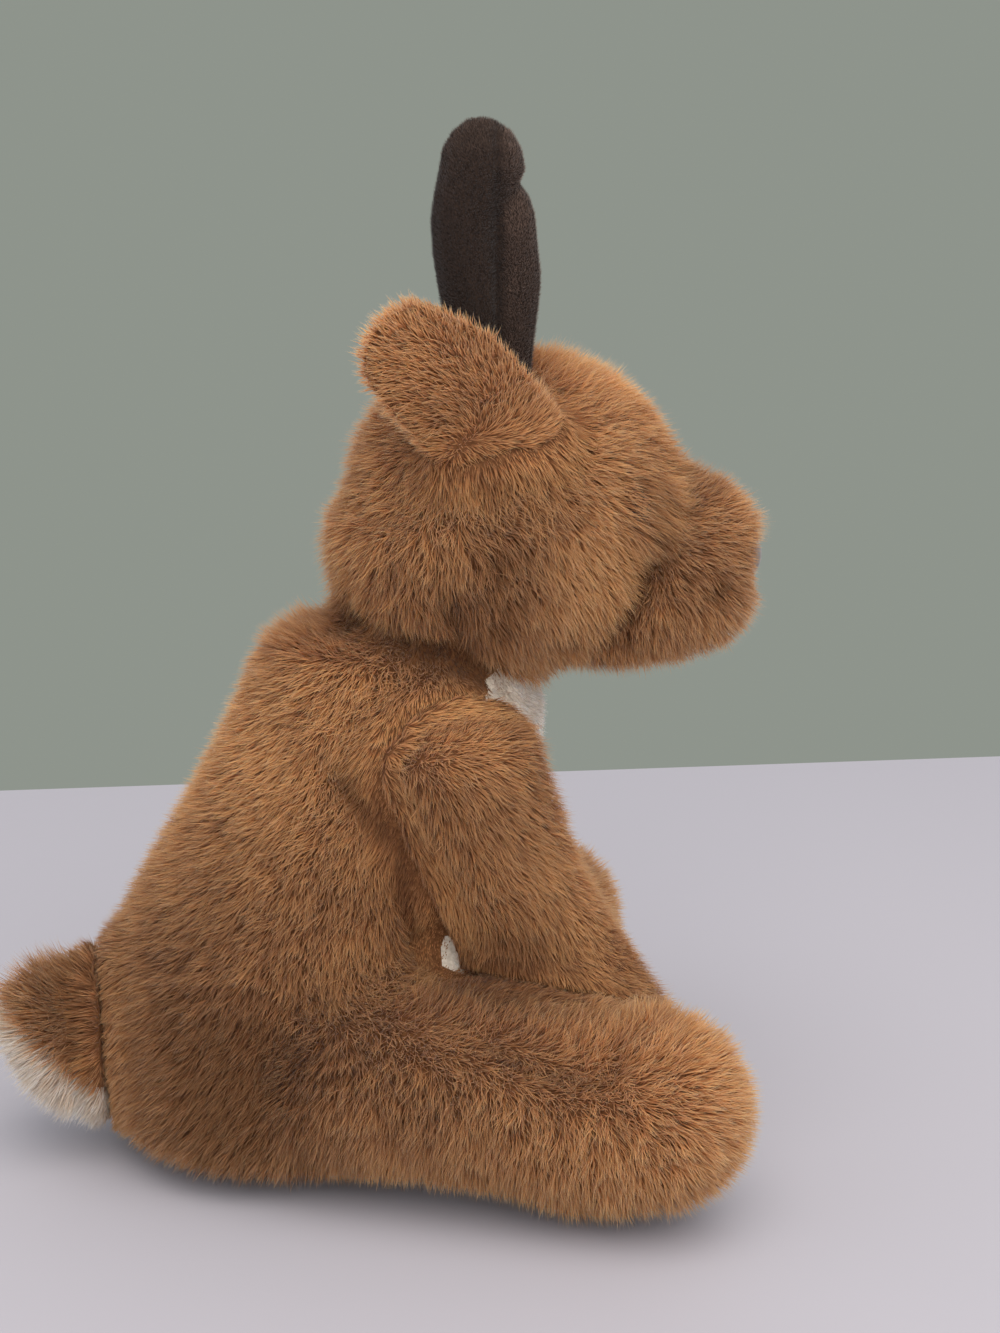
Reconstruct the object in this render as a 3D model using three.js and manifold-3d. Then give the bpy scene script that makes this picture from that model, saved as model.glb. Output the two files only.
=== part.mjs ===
// A sitting plush deer, sewn from fur cloth and stuffed. Millimetres, +Z up, the deer faces -Y.
// Right and left are the deer's own: right is -X. The seat patch under the rump is the origin.
import * as THREE from "three";
import { mergeVertices } from "three/addons/utils/BufferGeometryUtils.js";
import Module from "manifold-3d";

const wasm = await Module();
wasm.setup();

// Cloth and fit
const pileWall = 6; // fur cloth with its pile, as thick as it stands on the toy
const seamGap = 0.3; // between two pieces that are sewn or pressed together
const flatDepth = 0.5; // how far a form is cut flat where the toy stands on it
const overrun = 400; // cutting blocks reach this far past what they cut

// Body
const bodyHeight = 150; // floor to the top of the neck cloth
const bodyDepth = 112; // chest to rump at the widest
const bodyWidth = 107;
const seatRise = 11; // how high the rounding under the seat reaches
const neckRise = 12; // stuffed dome above the last ring
const pelletRise = 24; // top of the pellet bag in the seat
const bibAngle = 56; // degrees each side of the middle that the belly cloth covers
const bodyTurn = 10; // degrees that legs, belly cloth and tail are turned to the deer's left of its head

// Head
const headDepth = 100;
const headWidth = 92;
const headHeight = 93;
const headSink = 15; // how far the head drops over the neck cloth
const headLead = 68.5; // head centre ahead of the seat patch

// Muzzle
const muzzleLength = 48.5; // from its first ring, inside the head, to the nose end
const muzzleWidth = 54;
const muzzleHeight = 66;
const muzzleDrop = 13.5; // muzzle middle below the head centre
const muzzleStart = 24; // first ring ahead of the head centre

// Rear legs
const rearLength = 80; // hip ring to foot ring, straight ahead
const rearWidth = 53;
const rearHeight = 62;
const hipSpread = 41; // hip ring from the body's middle plane
const footSpread = 76; // foot ring from the body's middle plane
const hipLeadShare = 0.144;
const hipLead = bodyDepth * hipLeadShare; // hip ring ahead of the seat patch
const toeReach = 28.5; // rounding past the foot ring
const legArch = 5; // the hip ring's middle above the foot ring's

// Front legs
const shoulderHeightShare = 0.787;
const shoulderLeadShare = 0.457;
const shoulderSpreadShare = 0.407;
const pawLeadShare = 0.852;
const shoulderHeight = bodyHeight * shoulderHeightShare;
const shoulderLead = bodyDepth * shoulderLeadShare; // shoulder ring ahead of the seat patch
const shoulderSpread = bodyWidth * shoulderSpreadShare;
const pawLead = bodyDepth * pawLeadShare; // paw ring ahead of the seat patch
const pawSpread = 36;
const pawLift = 1; // front paws hang just clear of the floor
const pawRise = 27; // rounding under the paw ring
const shoulderRise = 20; // rounding over the shoulder ring
const frontWidth = 43;
const frontDepth = 55;
const frontSwing = 25; // degrees that a front leg lifts

// Ears
const earLength = 52;
const earWidth = 38;
const earThickness = 10;
const earOut = 38; // root from the middle plane
const earLead = 7; // root ahead of the head centre
const earRise = 22; // root above the head centre
const earSwing = 18; // degrees that an ear lifts away from the head

// Antlers
const antlerHeight = 48; // first ring, inside the crown, to the last ring
const antlerWidth = 18;
const antlerDepth = 21;
const antlerOut = 17; // root from the middle plane
const antlerLean = 7; // top of an antler further out than its root
const antlerTip = 13; // rounding over the last ring
const prongHeight = 32;
const prongDepth = 14;
const prongWidth = 13;
const prongTip = 13;
const prongLead = 2.5; // prong ahead of the beam's root
const antlerSink = 4; // first ring below the crown

// Tail
const tailLength = 20; // root ring to the last ring
const tailWidth = 42;
const tailHeight = 54;
const tailTip = 17;
const tailRise = 42.7; // root above the floor
const tailInset = 9; // root inside the rump
const tailDroop = 34; // degrees below level
const tailSwing = 15; // degrees that the tail lifts
const tailSplit = 50; // degrees below level that the cream cloth faces

// Safety eyes and nose, each with a shank and a press-on washer behind the cloth
const eyeRadius = 6;
const eyeDome = 4.5;
const eyeOut = 27;
const eyeRise = 6; // above the head centre
const noseWidth = 17;
const noseHeight = 12;
const noseDome = 4;
const noseDrop = 0.5; // nose below the muzzle middle
const fittingSink = 5.6; // how deep an eye or nose sits in the pile
const wellHeight = 12; // how far up the pile is opened above an eye or nose
const shankRadius = 2;
const shankLength = 9;
const washerRadius = 7;
const washerThickness = 1.5;
const fittingSegments = 14;
const domeSteps = 4;

const fur = new THREE.Color(0.50, 0.30, 0.17);
const cream = new THREE.Color(0.85, 0.80, 0.72);
const suede = new THREE.Color(0.12, 0.08, 0.06);
const glossBlack = new THREE.Color(0.02, 0.02, 0.02);
const noseBrown = new THREE.Color(0.16, 0.12, 0.10);
const filling = new THREE.Color(0.92, 0.92, 0.90);

const X = new THREE.Vector3(1, 0, 0);
const Y = new THREE.Vector3(0, 1, 0);
const Z = new THREE.Vector3(0, 0, 1);
const RIGHT = -1;
const LEFT = 1;

// A place given as: out from the middle plane, ahead of the seat patch, above the floor.
const place = (out, lead, rise) => new THREE.Vector3(out, -lead, rise);

// The same for what turns with the body, whose own middle plane points a little to the left of the head's.
const turnOfBody = THREE.MathUtils.degToRad(bodyTurn);
const withBody = (vector) => vector.clone().applyAxisAngle(Z, turnOfBody);
const bodyPlace = (out, lead, rise) => withBody(place(out, lead, rise));
const bodyX = withBody(X);
const bodyY = withBody(Y);

// A closed geometry becomes a solid that can be cut and joined.
function solid(geometry) {
  const bare = geometry.index ? geometry.clone() : geometry;
  bare.deleteAttribute("normal");
  bare.deleteAttribute("uv");
  const merged = mergeVertices(bare, 1e-4);
  return new wasm.Manifold(new wasm.Mesh({
    numProp: 3,
    vertProperties: new Float32Array(merged.attributes.position.array),
    triVerts: new Uint32Array(merged.index.array),
  }));
}

// Rings of a stuffed form: a spline through its stations, with a rounded cap at each end.
function ringsOf(form, grow, steps) {
  const centres = new THREE.CatmullRomCurve3(form.stations.map((s) => s.at));
  const halves = new THREE.CatmullRomCurve3(form.stations.map((s) => new THREE.Vector3(s.across, s.rise, 0)));
  const axis = new THREE.Vector3().crossVectors(form.acrossAxis, form.riseAxis);
  const rings = [];
  const addRing = (t, shift, share) => {
    const half = halves.getPoint(t);
    const at = centres.getPoint(t).addScaledVector(axis, shift);
    rings.push({ at, across: (half.x + grow) * share, rise: (half.y + grow) * share });
  };
  const capSteps = form.capSteps;
  for (let i = 0; i < capSteps; i++) {
    const turn = (Math.PI / 2) * (1 - i / capSteps);
    addRing(0, -(form.startCap + grow) * Math.sin(turn), Math.cos(turn));
  }
  for (let i = 0; i <= steps; i++) addRing(i / steps, 0, 1);
  for (let i = 1; i <= capSteps; i++) {
    const turn = (Math.PI / 2) * (i / capSteps);
    addRing(1, (form.endCap + grow) * Math.sin(turn), Math.cos(turn));
  }
  return rings;
}

// Closed skin over rings whose first and last ring are a point each.
function loft(form, rings, segments) {
  const inner = rings.slice(1, -1);
  const points = [rings[0].at];
  for (const ring of inner) {
    for (let i = 0; i < segments; i++) {
      const turn = (i / segments) * Math.PI * 2;
      points.push(ring.at.clone()
        .addScaledVector(form.acrossAxis, Math.cos(turn) * ring.across)
        .addScaledVector(form.riseAxis, Math.sin(turn) * ring.rise));
    }
  }
  points.push(rings[rings.length - 1].at);
  const last = points.length - 1;
  const faces = [];
  for (let i = 0; i < segments; i++) {
    const next = (i + 1) % segments;
    faces.push(0, 1 + next, 1 + i);
    for (let r = 0; r < inner.length - 1; r++) {
      const low = 1 + r * segments;
      const high = low + segments;
      faces.push(low + i, low + next, high + next, low + i, high + next, high + i);
    }
    const top = 1 + (inner.length - 1) * segments;
    faces.push(top + i, top + next, last);
  }
  const geometry = new THREE.BufferGeometry().setFromPoints(points);
  geometry.setIndex(faces);
  return solid(geometry);
}

// The solid of a form, grown or shrunk all round.
function shape(form, grow = 0) {
  const fine = grow >= 0;
  const segments = fine ? form.segments : form.innerSegments;
  const steps = fine ? form.steps : form.innerSteps;
  return loft(form, ringsOf(form, grow, steps), segments);
}

// Station tables hold shares of the form's sizes, from its first ring to its last.
function stationsFrom(rows, toStation) {
  return rows.map((row) => toStation(...row));
}

// Rise, lead of the ring's middle, half depth, half width: shares of the body's sizes.
const bodyShares = [
  [0.073, 0.071, 0.925, 0.985],
  [0.267, 0.076, 1.008, 1.000],
  [0.400, 0.107, 1.019, 0.981],
  [0.600, 0.208, 0.926, 0.885],
  [0.780, 0.302, 0.847, 0.770],
  [0.887, 0.338, 0.784, 0.695],
  [0.960, 0.336, 0.695, 0.610],
];
const body = {
  stations: stationsFrom(bodyShares, (rise, lead, depth, width) => ({
    at: place(0, lead * bodyDepth, rise * bodyHeight),
    across: (width * bodyWidth) / 2,
    rise: (depth * bodyDepth) / 2,
  })),
  acrossAxis: X,
  riseAxis: Y,
  startCap: seatRise + flatDepth,
  endCap: neckRise,
  segments: 26,
  steps: 9,
  innerSegments: 18,
  innerSteps: 6,
  capSteps: 4,
};

const headCentre = place(0, headLead, bodyHeight - headSink + headHeight / 2);

// Rise from the middle, lead of the ring's middle, half depth, half width: shares of the head's sizes.
const headShares = [
  [-0.08, -0.027, 0.966, 0.985],
  [0.00, 0.003, 0.992, 1.000],
  [0.08, 0.033, 0.952, 0.975],
];
const headCapShare = 0.42;
const head = {
  stations: stationsFrom(headShares, (rise, lead, depth, width) => ({
    at: headCentre.clone().add(place(0, lead * headDepth, rise * headHeight)),
    across: (width * headWidth) / 2,
    rise: (depth * headDepth) / 2,
  })),
  acrossAxis: X,
  riseAxis: Y,
  startCap: headHeight * headCapShare,
  endCap: headHeight * headCapShare,
  segments: 24,
  steps: 2,
  innerSegments: 16,
  innerSteps: 2,
  capSteps: 5,
};

// Lead along the muzzle, half width, half height: shares of the muzzle's sizes.
const muzzleShares = [
  [0.00, 1.00, 1.00],
  [0.38, 0.97, 0.97],
  [0.66, 0.84, 0.84],
];
const muzzleTipShare = 0.34;
const muzzleMiddle = headCentre.clone().addScaledVector(Z, -muzzleDrop);
const muzzle = {
  stations: stationsFrom(muzzleShares, (lead, width, height) => ({
    at: muzzleMiddle.clone().addScaledVector(Y, -(muzzleStart + lead * muzzleLength)),
    across: (width * muzzleWidth) / 2,
    rise: (height * muzzleHeight) / 2,
  })),
  acrossAxis: X,
  riseAxis: Z,
  startCap: muzzleLength * muzzleTipShare,
  endCap: muzzleLength * muzzleTipShare,
  segments: 20,
  steps: 3,
  innerSegments: 14,
  innerSteps: 2,
  capSteps: 4,
};

// Share of the way from hip to foot, half width, half height, lift: shares of the leg's sizes.
const rearShares = [
  [0.00, 0.96, 1.000, 0.000],
  [0.50, 0.98, 0.960, 0.020],
  [0.80, 1.00, 0.990, -0.020],
  [1.00, 0.98, 0.970, 0.035],
];
function rearLeg(side) {
  const footMiddle = rearHeight / 2 - flatDepth;
  const hip = bodyPlace(side * hipSpread, hipLead, footMiddle + legArch);
  const foot = bodyPlace(side * footSpread, hipLead + rearLength, footMiddle);
  const ahead = foot.clone().sub(hip).setZ(0).normalize();
  return {
    stations: stationsFrom(rearShares, (way, width, height, lift) => ({
      at: hip.clone().lerp(foot, way).addScaledVector(Z, lift * rearHeight),
      across: (width * rearWidth) / 2,
      rise: (height * rearHeight) / 2,
    })),
    acrossAxis: new THREE.Vector3().crossVectors(Z, ahead),
    riseAxis: Z,
    startCap: rearWidth / 2,
    endCap: toeReach,
    segments: 18,
    steps: 5,
    innerSegments: 12,
    innerSteps: 4,
    capSteps: 4,
  };
}

// Share of the way down from shoulder to paw, share of the way forward and in, half width, half depth.
const frontShares = [
  [0.00, 0.00, 0.00, 1.00, 0.93],
  [0.29, 0.22, 0.20, 0.98, 0.91],
  [0.62, 0.58, 0.66, 0.93, 1.00],
  [1.00, 1.00, 1.00, 0.84, 1.00],
];
function frontLeg(side) {
  const pawHeight = pawLift + pawRise;
  return {
    stations: stationsFrom(frontShares, (down, ahead, inward, width, depth) => ({
      at: bodyPlace(
        side * THREE.MathUtils.lerp(shoulderSpread, pawSpread, inward),
        THREE.MathUtils.lerp(shoulderLead, pawLead, ahead),
        THREE.MathUtils.lerp(shoulderHeight, pawHeight, down),
      ),
      across: (width * frontWidth) / 2,
      rise: (depth * frontDepth) / 2,
    })).reverse(),
    acrossAxis: bodyX,
    riseAxis: bodyY,
    startCap: pawRise,
    endCap: shoulderRise,
    segments: 18,
    steps: 6,
    innerSegments: 12,
    innerSteps: 4,
    capSteps: 4,
  };
}

// Direction an ear points: back, out and up, as shares of a unit step.
const earBackShare = 0.76;
const earOutShare = 0.12;
const rightUpShare = 0.60;
const leftUpShare = 0.46; // the left ear lies a little lower, as a soft ear may
function earFrame(side) {
  const upShare = side === RIGHT ? rightUpShare : leftUpShare;
  const along = new THREE.Vector3(side * earOutShare, earBackShare, upShare).normalize();
  const outward = new THREE.Vector3(side, 0, 0);
  const across = new THREE.Vector3().crossVectors(outward, along).normalize();
  const thick = new THREE.Vector3().crossVectors(along, across).normalize();
  const root = headCentre.clone().add(place(side * earOut, earLead, earRise));
  return { along, across, thick, root };
}

// Share of the way to the tip, half width, half thickness.
const earShares = [
  [0.00, 0.62, 0.80],
  [0.20, 0.86, 1.00],
  [0.50, 1.00, 1.00],
  [0.80, 0.80, 0.86],
];
const earTipShare = 0.2;
function ear(side) {
  const { along, across, thick, root } = earFrame(side);
  return {
    stations: stationsFrom(earShares, (way, width, thickness) => ({
      at: root.clone().addScaledVector(along, way * earLength),
      across: (width * earWidth) / 2,
      rise: (thickness * earThickness) / 2,
    })),
    acrossAxis: across,
    riseAxis: thick,
    startCap: earThickness / 2,
    endCap: earLength * earTipShare,
    segments: 16,
    steps: 6,
    innerSegments: 16,
    innerSteps: 6,
    capSteps: 3,
  };
}

const crownHeight = headCentre.z + headHeight / 2;

// Share of the height, ahead of the head centre as a share of the depth, half width, half depth.
const beamShares = [
  [0.00, -0.19, 0.85, 0.86],
  [0.36, -0.33, 0.94, 0.90],
  [0.74, -0.42, 1.00, 0.90],
  [1.00, -0.24, 1.00, 1.05],
];
const prongShares = [
  [0.00, -0.10, 1.00, 0.93],
  [0.60, 0.04, 1.00, 1.00],
  [1.00, 0.00, 0.96, 0.93],
];
function antlerSpike(side, rows, lead, height, width, depth, tip) {
  const foot = crownHeight - antlerSink;
  return {
    stations: stationsFrom(rows, (rise, ahead, halfWidth, halfDepth) => ({
      at: place(
        side * (antlerOut + (antlerLean * rise * height) / antlerHeight),
        headLead + lead + ahead * depth,
        foot + rise * height,
      ),
      across: (halfWidth * width) / 2,
      rise: (halfDepth * depth) / 2,
    })),
    acrossAxis: X,
    riseAxis: Y,
    startCap: antlerSink,
    endCap: tip,
    segments: 16,
    steps: 6,
    innerSegments: 16,
    innerSteps: 6,
    capSteps: 4,
  };
}
function antler(side, grow = 0) {
  const beam = antlerSpike(side, beamShares, 0, antlerHeight, antlerWidth, antlerDepth, antlerTip);
  const prong = antlerSpike(side, prongShares, prongLead, prongHeight, prongWidth, prongDepth, prongTip);
  return shape(beam, grow).add(shape(prong, grow));
}

const tailTurn = THREE.MathUtils.degToRad(tailDroop);
const tailAxis = withBody(new THREE.Vector3(0, Math.cos(tailTurn), -Math.sin(tailTurn)));
const tailUp = new THREE.Vector3().crossVectors(bodyX, tailAxis);
const rumpLead = (bodyShares[1][1] - bodyShares[1][2] / 2) * bodyDepth;
const tailRoot = bodyPlace(0, rumpLead + tailInset, tailRise);

// Share of the way to the last ring, half width, half height.
const tailShares = [
  [0.00, 0.80, 0.76],
  [0.50, 0.94, 0.94],
  [1.00, 1.00, 1.00],
];
const tail = {
  stations: stationsFrom(tailShares, (way, width, height) => ({
    at: tailRoot.clone().addScaledVector(tailAxis, way * tailLength),
    across: (width * tailWidth) / 2,
    rise: (height * tailHeight) / 2,
  })),
  acrossAxis: bodyX.clone().negate(),
  riseAxis: tailUp,
  startCap: tailInset,
  endCap: tailTip,
  segments: 18,
  steps: 3,
  innerSegments: 18,
  innerSteps: 3,
  capSteps: 4,
};

// A block between two corners.
function block(low, high) {
  const size = new THREE.Vector3().subVectors(high, low);
  const geometry = new THREE.BoxGeometry(size.x, size.y, size.z);
  geometry.translate((low.x + high.x) / 2, (low.y + high.y) / 2, (low.z + high.z) / 2);
  return solid(geometry);
}
const belowHeight = (height) => block(
  new THREE.Vector3(-overrun, -overrun, -overrun),
  new THREE.Vector3(overrun, overrun, height),
);

// The wedge in front of the body that the belly cloth fills. It leans forward as the body does.
function bibWedge(grow) {
  const apex = bodyShares[0][1] * bodyDepth;
  const lean = ((bodyShares[6][1] - bodyShares[0][1]) * bodyDepth) / bodyHeight;
  const half = THREE.MathUtils.degToRad(bibAngle);
  const pull = grow / Math.sin(half);
  const outline = new THREE.Shape();
  outline.moveTo(0, -apex + pull);
  outline.lineTo(-overrun * Math.sin(half), -apex + pull - overrun * Math.cos(half));
  outline.lineTo(overrun * Math.sin(half), -apex + pull - overrun * Math.cos(half));
  outline.closePath();
  const geometry = new THREE.ExtrudeGeometry(outline, { depth: overrun * 2, bevelEnabled: false });
  geometry.translate(0, 0, -overrun);
  geometry.applyMatrix4(new THREE.Matrix4().makeShear(0, 0, 0, 0, 0, -lean));
  geometry.rotateZ(turnOfBody);
  return solid(geometry);
}

// What a moving piece must stay clear of, at steps through its swing, seen from that piece.
const swingSteps = 4;
function sweptClear(piece, obstacle, pivot, axis, degrees, steps) {
  let clear = piece;
  for (let i = 0; i <= steps; i++) {
    const turn = THREE.MathUtils.degToRad((-degrees * i) / steps);
    const move = new THREE.Matrix4().makeTranslation(pivot.x, pivot.y, pivot.z)
      .multiply(new THREE.Matrix4().makeRotationAxis(axis, turn))
      .multiply(new THREE.Matrix4().makeTranslation(-pivot.x, -pivot.y, -pivot.z));
    clear = clear.subtract(obstacle.transform(move.elements));
  }
  return clear;
}

// The largest solid left by a cut; crumbs that a cut strands at a feather edge are trimmed off.
function mainSolid(piece) {
  const parts = piece.decompose().sort((a, b) => b.volume() - a.volume());
  return parts[0];
}

const root = new THREE.Group();
function addPiece(name, piece, color, roughness) {
  const mesh = mainSolid(piece).getMesh();
  const geometry = new THREE.BufferGeometry();
  geometry.setAttribute("position", new THREE.BufferAttribute(new Float32Array(mesh.vertProperties), 3));
  geometry.setIndex(new THREE.BufferAttribute(new Uint32Array(mesh.triVerts), 1));
  geometry.computeVertexNormals();
  const node = new THREE.Mesh(geometry, new THREE.MeshStandardMaterial({ color, roughness, metalness: 0 }));
  node.name = name;
  root.add(node);
}

// Lathe profile round +Z, set with its axis along a direction at a place.
function turned(profile, segments, at, direction, scale = new THREE.Vector3(1, 1, 1)) {
  const geometry = new THREE.LatheGeometry(profile, segments);
  geometry.rotateX(Math.PI / 2);
  geometry.scale(scale.x, scale.y, scale.z);
  const turn = new THREE.Quaternion().setFromUnitVectors(Z, direction);
  geometry.applyQuaternion(turn);
  geometry.translate(at.x, at.y, at.z);
  return solid(geometry);
}

// Dome with a shank behind it. The dome's flat back lies at height zero.
function fitting(radius, dome, at, direction, scale, grow) {
  const profile = [new THREE.Vector2(0, -shankLength - grow)];
  profile.push(new THREE.Vector2(shankRadius + grow, -shankLength - grow));
  profile.push(new THREE.Vector2(shankRadius + grow, -grow));
  for (let i = 0; i <= domeSteps; i++) {
    const turn = (Math.PI / 2) * (i / domeSteps);
    const reach = i === domeSteps ? 0 : (radius + grow) * Math.cos(turn);
    profile.push(new THREE.Vector2(reach, i === 0 ? -grow : (dome + grow) * Math.sin(turn)));
  }
  return turned(profile, fittingSegments, at, direction, scale);
}

// Straight well above a fitting, so that the pile opens round it.
function well(radius, at, direction, scale) {
  const profile = [
    new THREE.Vector2(0, 0),
    new THREE.Vector2(radius + seamGap, 0),
    new THREE.Vector2(radius + seamGap, wellHeight),
    new THREE.Vector2(0, wellHeight),
  ];
  return turned(profile, fittingSegments, at, direction, scale);
}

// Ring that grips the shank behind the cloth.
function washer(at, direction, grow) {
  const back = pileWall - fittingSink;
  const front = -back - seamGap - washerRadius * washerRadius / headHeight;
  const low = front - washerThickness;
  const bore = Math.max(shankRadius + seamGap - grow, shankRadius / 2);
  const profile = [
    new THREE.Vector2(bore, low - grow),
    new THREE.Vector2(washerRadius + grow, low - grow),
    new THREE.Vector2(washerRadius + grow, front + grow),
    new THREE.Vector2(bore, front + grow),
    new THREE.Vector2(bore, low - grow),
  ];
  return turned(profile, fittingSegments, at, direction);
}

// Outward direction and point on an ellipsoid with the head's sizes.
function eyeSeat(side) {
  const outShare = eyeOut / (headWidth / 2);
  const riseShare = eyeRise / (headHeight / 2);
  const leadShare = Math.sqrt(1 - outShare ** 2 - riseShare ** 2);
  const onHead = place(side * eyeOut, leadShare * (headDepth / 2), eyeRise);
  const direction = new THREE.Vector3(
    onHead.x / headWidth ** 2,
    onHead.y / headDepth ** 2,
    onHead.z / headHeight ** 2,
  ).normalize();
  const at = headCentre.clone().add(onHead).addScaledVector(direction, -fittingSink);
  return { at, direction };
}
const muzzleEnd = muzzleShares[2][0] * muzzleLength + muzzle.endCap;
const noseAt = muzzleMiddle.clone().add(place(0, muzzleStart + muzzleEnd - fittingSink, -noseDrop));
const noseFacing = new THREE.Vector3(0, -1, 0);
const noseScale = new THREE.Vector3(1, noseHeight / noseWidth, 1);

// Body: brown skin behind and beside, cream belly cloth in front, filling and pellets inside
const bodyClear = shape(body, seamGap);
const bodyCloth = shape(body)
  .subtract(shape(body, -pileWall))
  .subtract(shape(head, -pileWall))
  .subtract(belowHeight(0));
const bodyInside = shape(body, -pileWall - seamGap);
addPiece("body_skin", bodyCloth.subtract(bibWedge(seamGap)), fur, 0.95);
addPiece("belly_panel", bodyCloth.intersect(bibWedge(0)), cream, 0.95);
addPiece("body_stuffing", bodyInside.subtract(belowHeight(pelletRise)), filling, 1);
addPiece("seat_pellet_bag", bodyInside.intersect(belowHeight(pelletRise - seamGap)), filling, 0.9);

// Head and muzzle
const headClear = shape(head, seamGap);
let headSkin = shape(head).subtract(shape(head, -pileWall)).subtract(bodyClear);
let headStuffing = shape(head, -pileWall - seamGap).subtract(bodyClear);
for (const [side, name] of [[RIGHT, "right"], [LEFT, "left"]]) {
  const { at, direction } = eyeSeat(side);
  const cutFitting = fitting(eyeRadius, eyeDome, at, direction, undefined, seamGap)
    .add(well(eyeRadius, at, direction))
    .add(washer(at, direction, seamGap));
  headSkin = headSkin.subtract(cutFitting);
  headStuffing = headStuffing.subtract(cutFitting);
  addPiece(`${name}_eye`, fitting(eyeRadius, eyeDome, at, direction, undefined, 0), glossBlack, 0.1);
  addPiece(`${name}_eye_washer`, washer(at, direction, 0), filling, 0.5);
}
addPiece("head_skin", headSkin, fur, 0.95);
addPiece("head_stuffing", headStuffing, filling, 1);

const noseCut = fitting(noseWidth / 2, noseDome, noseAt, noseFacing, noseScale, seamGap)
  .add(well(noseWidth / 2, noseAt, noseFacing, noseScale))
  .add(washer(noseAt, noseFacing, seamGap));
const muzzleSkin = shape(muzzle).subtract(shape(muzzle, -pileWall)).subtract(headClear);
const muzzleStuffing = shape(muzzle, -pileWall - seamGap).subtract(headClear);
addPiece("muzzle_skin", muzzleSkin.subtract(noseCut), fur, 0.95);
addPiece("muzzle_stuffing", muzzleStuffing.subtract(noseCut), filling, 1);
addPiece("nose", fitting(noseWidth / 2, noseDome, noseAt, noseFacing, noseScale, 0), noseBrown, 0.35);
addPiece("nose_washer", washer(noseAt, noseFacing, 0), filling, 0.5);

// Legs, antlers and ears, a pair each
for (const [side, name] of [[RIGHT, "right"], [LEFT, "left"]]) {
  const rear = rearLeg(side);
  const rearSkin = shape(rear).subtract(shape(rear, -pileWall)).subtract(bodyClear).subtract(belowHeight(0));
  const rearStuffing = shape(rear, -pileWall - seamGap).subtract(bodyClear);
  addPiece(`${name}_rear_leg_skin`, rearSkin, fur, 0.95);
  addPiece(`${name}_rear_leg_stuffing`, rearStuffing, filling, 1);

  const front = frontLeg(side);
  const around = bodyClear.add(shape(rear, seamGap));
  const pivot = bodyPlace(side * shoulderSpread, shoulderLead, shoulderHeight + shoulderRise);
  const swing = (piece) => sweptClear(piece, around, pivot, bodyX, -frontSwing, swingSteps);
  addPiece(`${name}_front_leg_skin`, swing(shape(front).subtract(shape(front, -pileWall))), fur, 0.95);
  addPiece(`${name}_front_leg_stuffing`, swing(shape(front, -pileWall - seamGap)), filling, 1);

  addPiece(`${name}_antler`, antler(side).subtract(headClear), suede, 0.9);

  const leaf = ear(side);
  const { along, across, thick, root: earRoot } = earFrame(side);
  const hinge = earRoot.clone().addScaledVector(along, -earThickness / 2);
  const others = headClear.add(antler(side, seamGap));
  const clearLeaf = sweptClear(shape(leaf), others, hinge, across, -earSwing, swingSteps);
  const halfOf = (way) => {
    const slab = new THREE.BoxGeometry(overrun, overrun, overrun);
    slab.translate(0, 0, overrun / 2 + seamGap / 2);
    slab.applyQuaternion(new THREE.Quaternion().setFromUnitVectors(Z, thick.clone().multiplyScalar(way)));
    slab.translate(earRoot.x, earRoot.y, earRoot.z);
    return solid(slab);
  };
  addPiece(`${name}_ear_back`, clearLeaf.intersect(halfOf(1)), fur, 0.95);
  addPiece(`${name}_ear_lining`, clearLeaf.intersect(halfOf(-1)), cream, 0.95);
}

// Tail: brown above, cream below and behind
const tailPivot = tailRoot.clone().addScaledVector(tailUp, tailHeight / 2);
const clearTail = sweptClear(shape(tail), bodyClear, tailPivot, bodyX, tailSwing, swingSteps);
const splitTurn = THREE.MathUtils.degToRad(tailSplit);
const creamWay = withBody(new THREE.Vector3(0, Math.cos(splitTurn), -Math.sin(splitTurn)));
const splitAt = tailRoot.clone().addScaledVector(tailAxis, tailLength);
for (const [name, way, color] of [["tail_top", -1, fur], ["tail_underside", 1, cream]]) {
  const slab = new THREE.BoxGeometry(overrun, overrun, overrun);
  slab.translate(0, 0, overrun / 2 + seamGap / 2);
  slab.applyQuaternion(new THREE.Quaternion().setFromUnitVectors(Z, creamWay.clone().multiplyScalar(way)));
  slab.translate(splitAt.x, splitAt.y, splitAt.z);
  addPiece(name, clearTail.intersect(solid(slab)), color, 0.95);
}

export default root;
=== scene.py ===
import math

import bmesh
import bpy
import numpy as np
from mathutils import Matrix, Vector
from mathutils.bvhtree import BVHTree


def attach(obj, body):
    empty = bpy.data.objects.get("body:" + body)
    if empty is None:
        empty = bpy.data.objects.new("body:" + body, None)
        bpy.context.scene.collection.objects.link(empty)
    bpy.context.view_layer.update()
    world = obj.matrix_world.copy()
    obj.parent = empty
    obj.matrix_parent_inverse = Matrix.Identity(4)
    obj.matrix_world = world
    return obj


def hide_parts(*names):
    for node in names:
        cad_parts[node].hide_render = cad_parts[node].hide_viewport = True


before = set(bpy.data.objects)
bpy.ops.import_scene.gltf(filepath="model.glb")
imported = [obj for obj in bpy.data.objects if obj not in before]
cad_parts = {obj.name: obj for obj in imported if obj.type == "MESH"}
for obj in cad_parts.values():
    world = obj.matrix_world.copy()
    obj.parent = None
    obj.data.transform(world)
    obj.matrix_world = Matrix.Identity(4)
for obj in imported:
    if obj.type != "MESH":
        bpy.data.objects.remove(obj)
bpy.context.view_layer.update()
scene = bpy.context.scene
print("frame loaded")


# Camera: at the deer's right side, looking down a little
camera = {
    "aim": (0.0, -0.068, 0.138),  # the point at the middle of the picture
    "distance": 0.600,  # from the aim, along the floor
    "pitch": 12.4,  # degrees below level
    "lens": 60.0,
    "sensor": 36.0,
    "nearest": 0.01,
    "picture": (1000, 1333),
}


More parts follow.
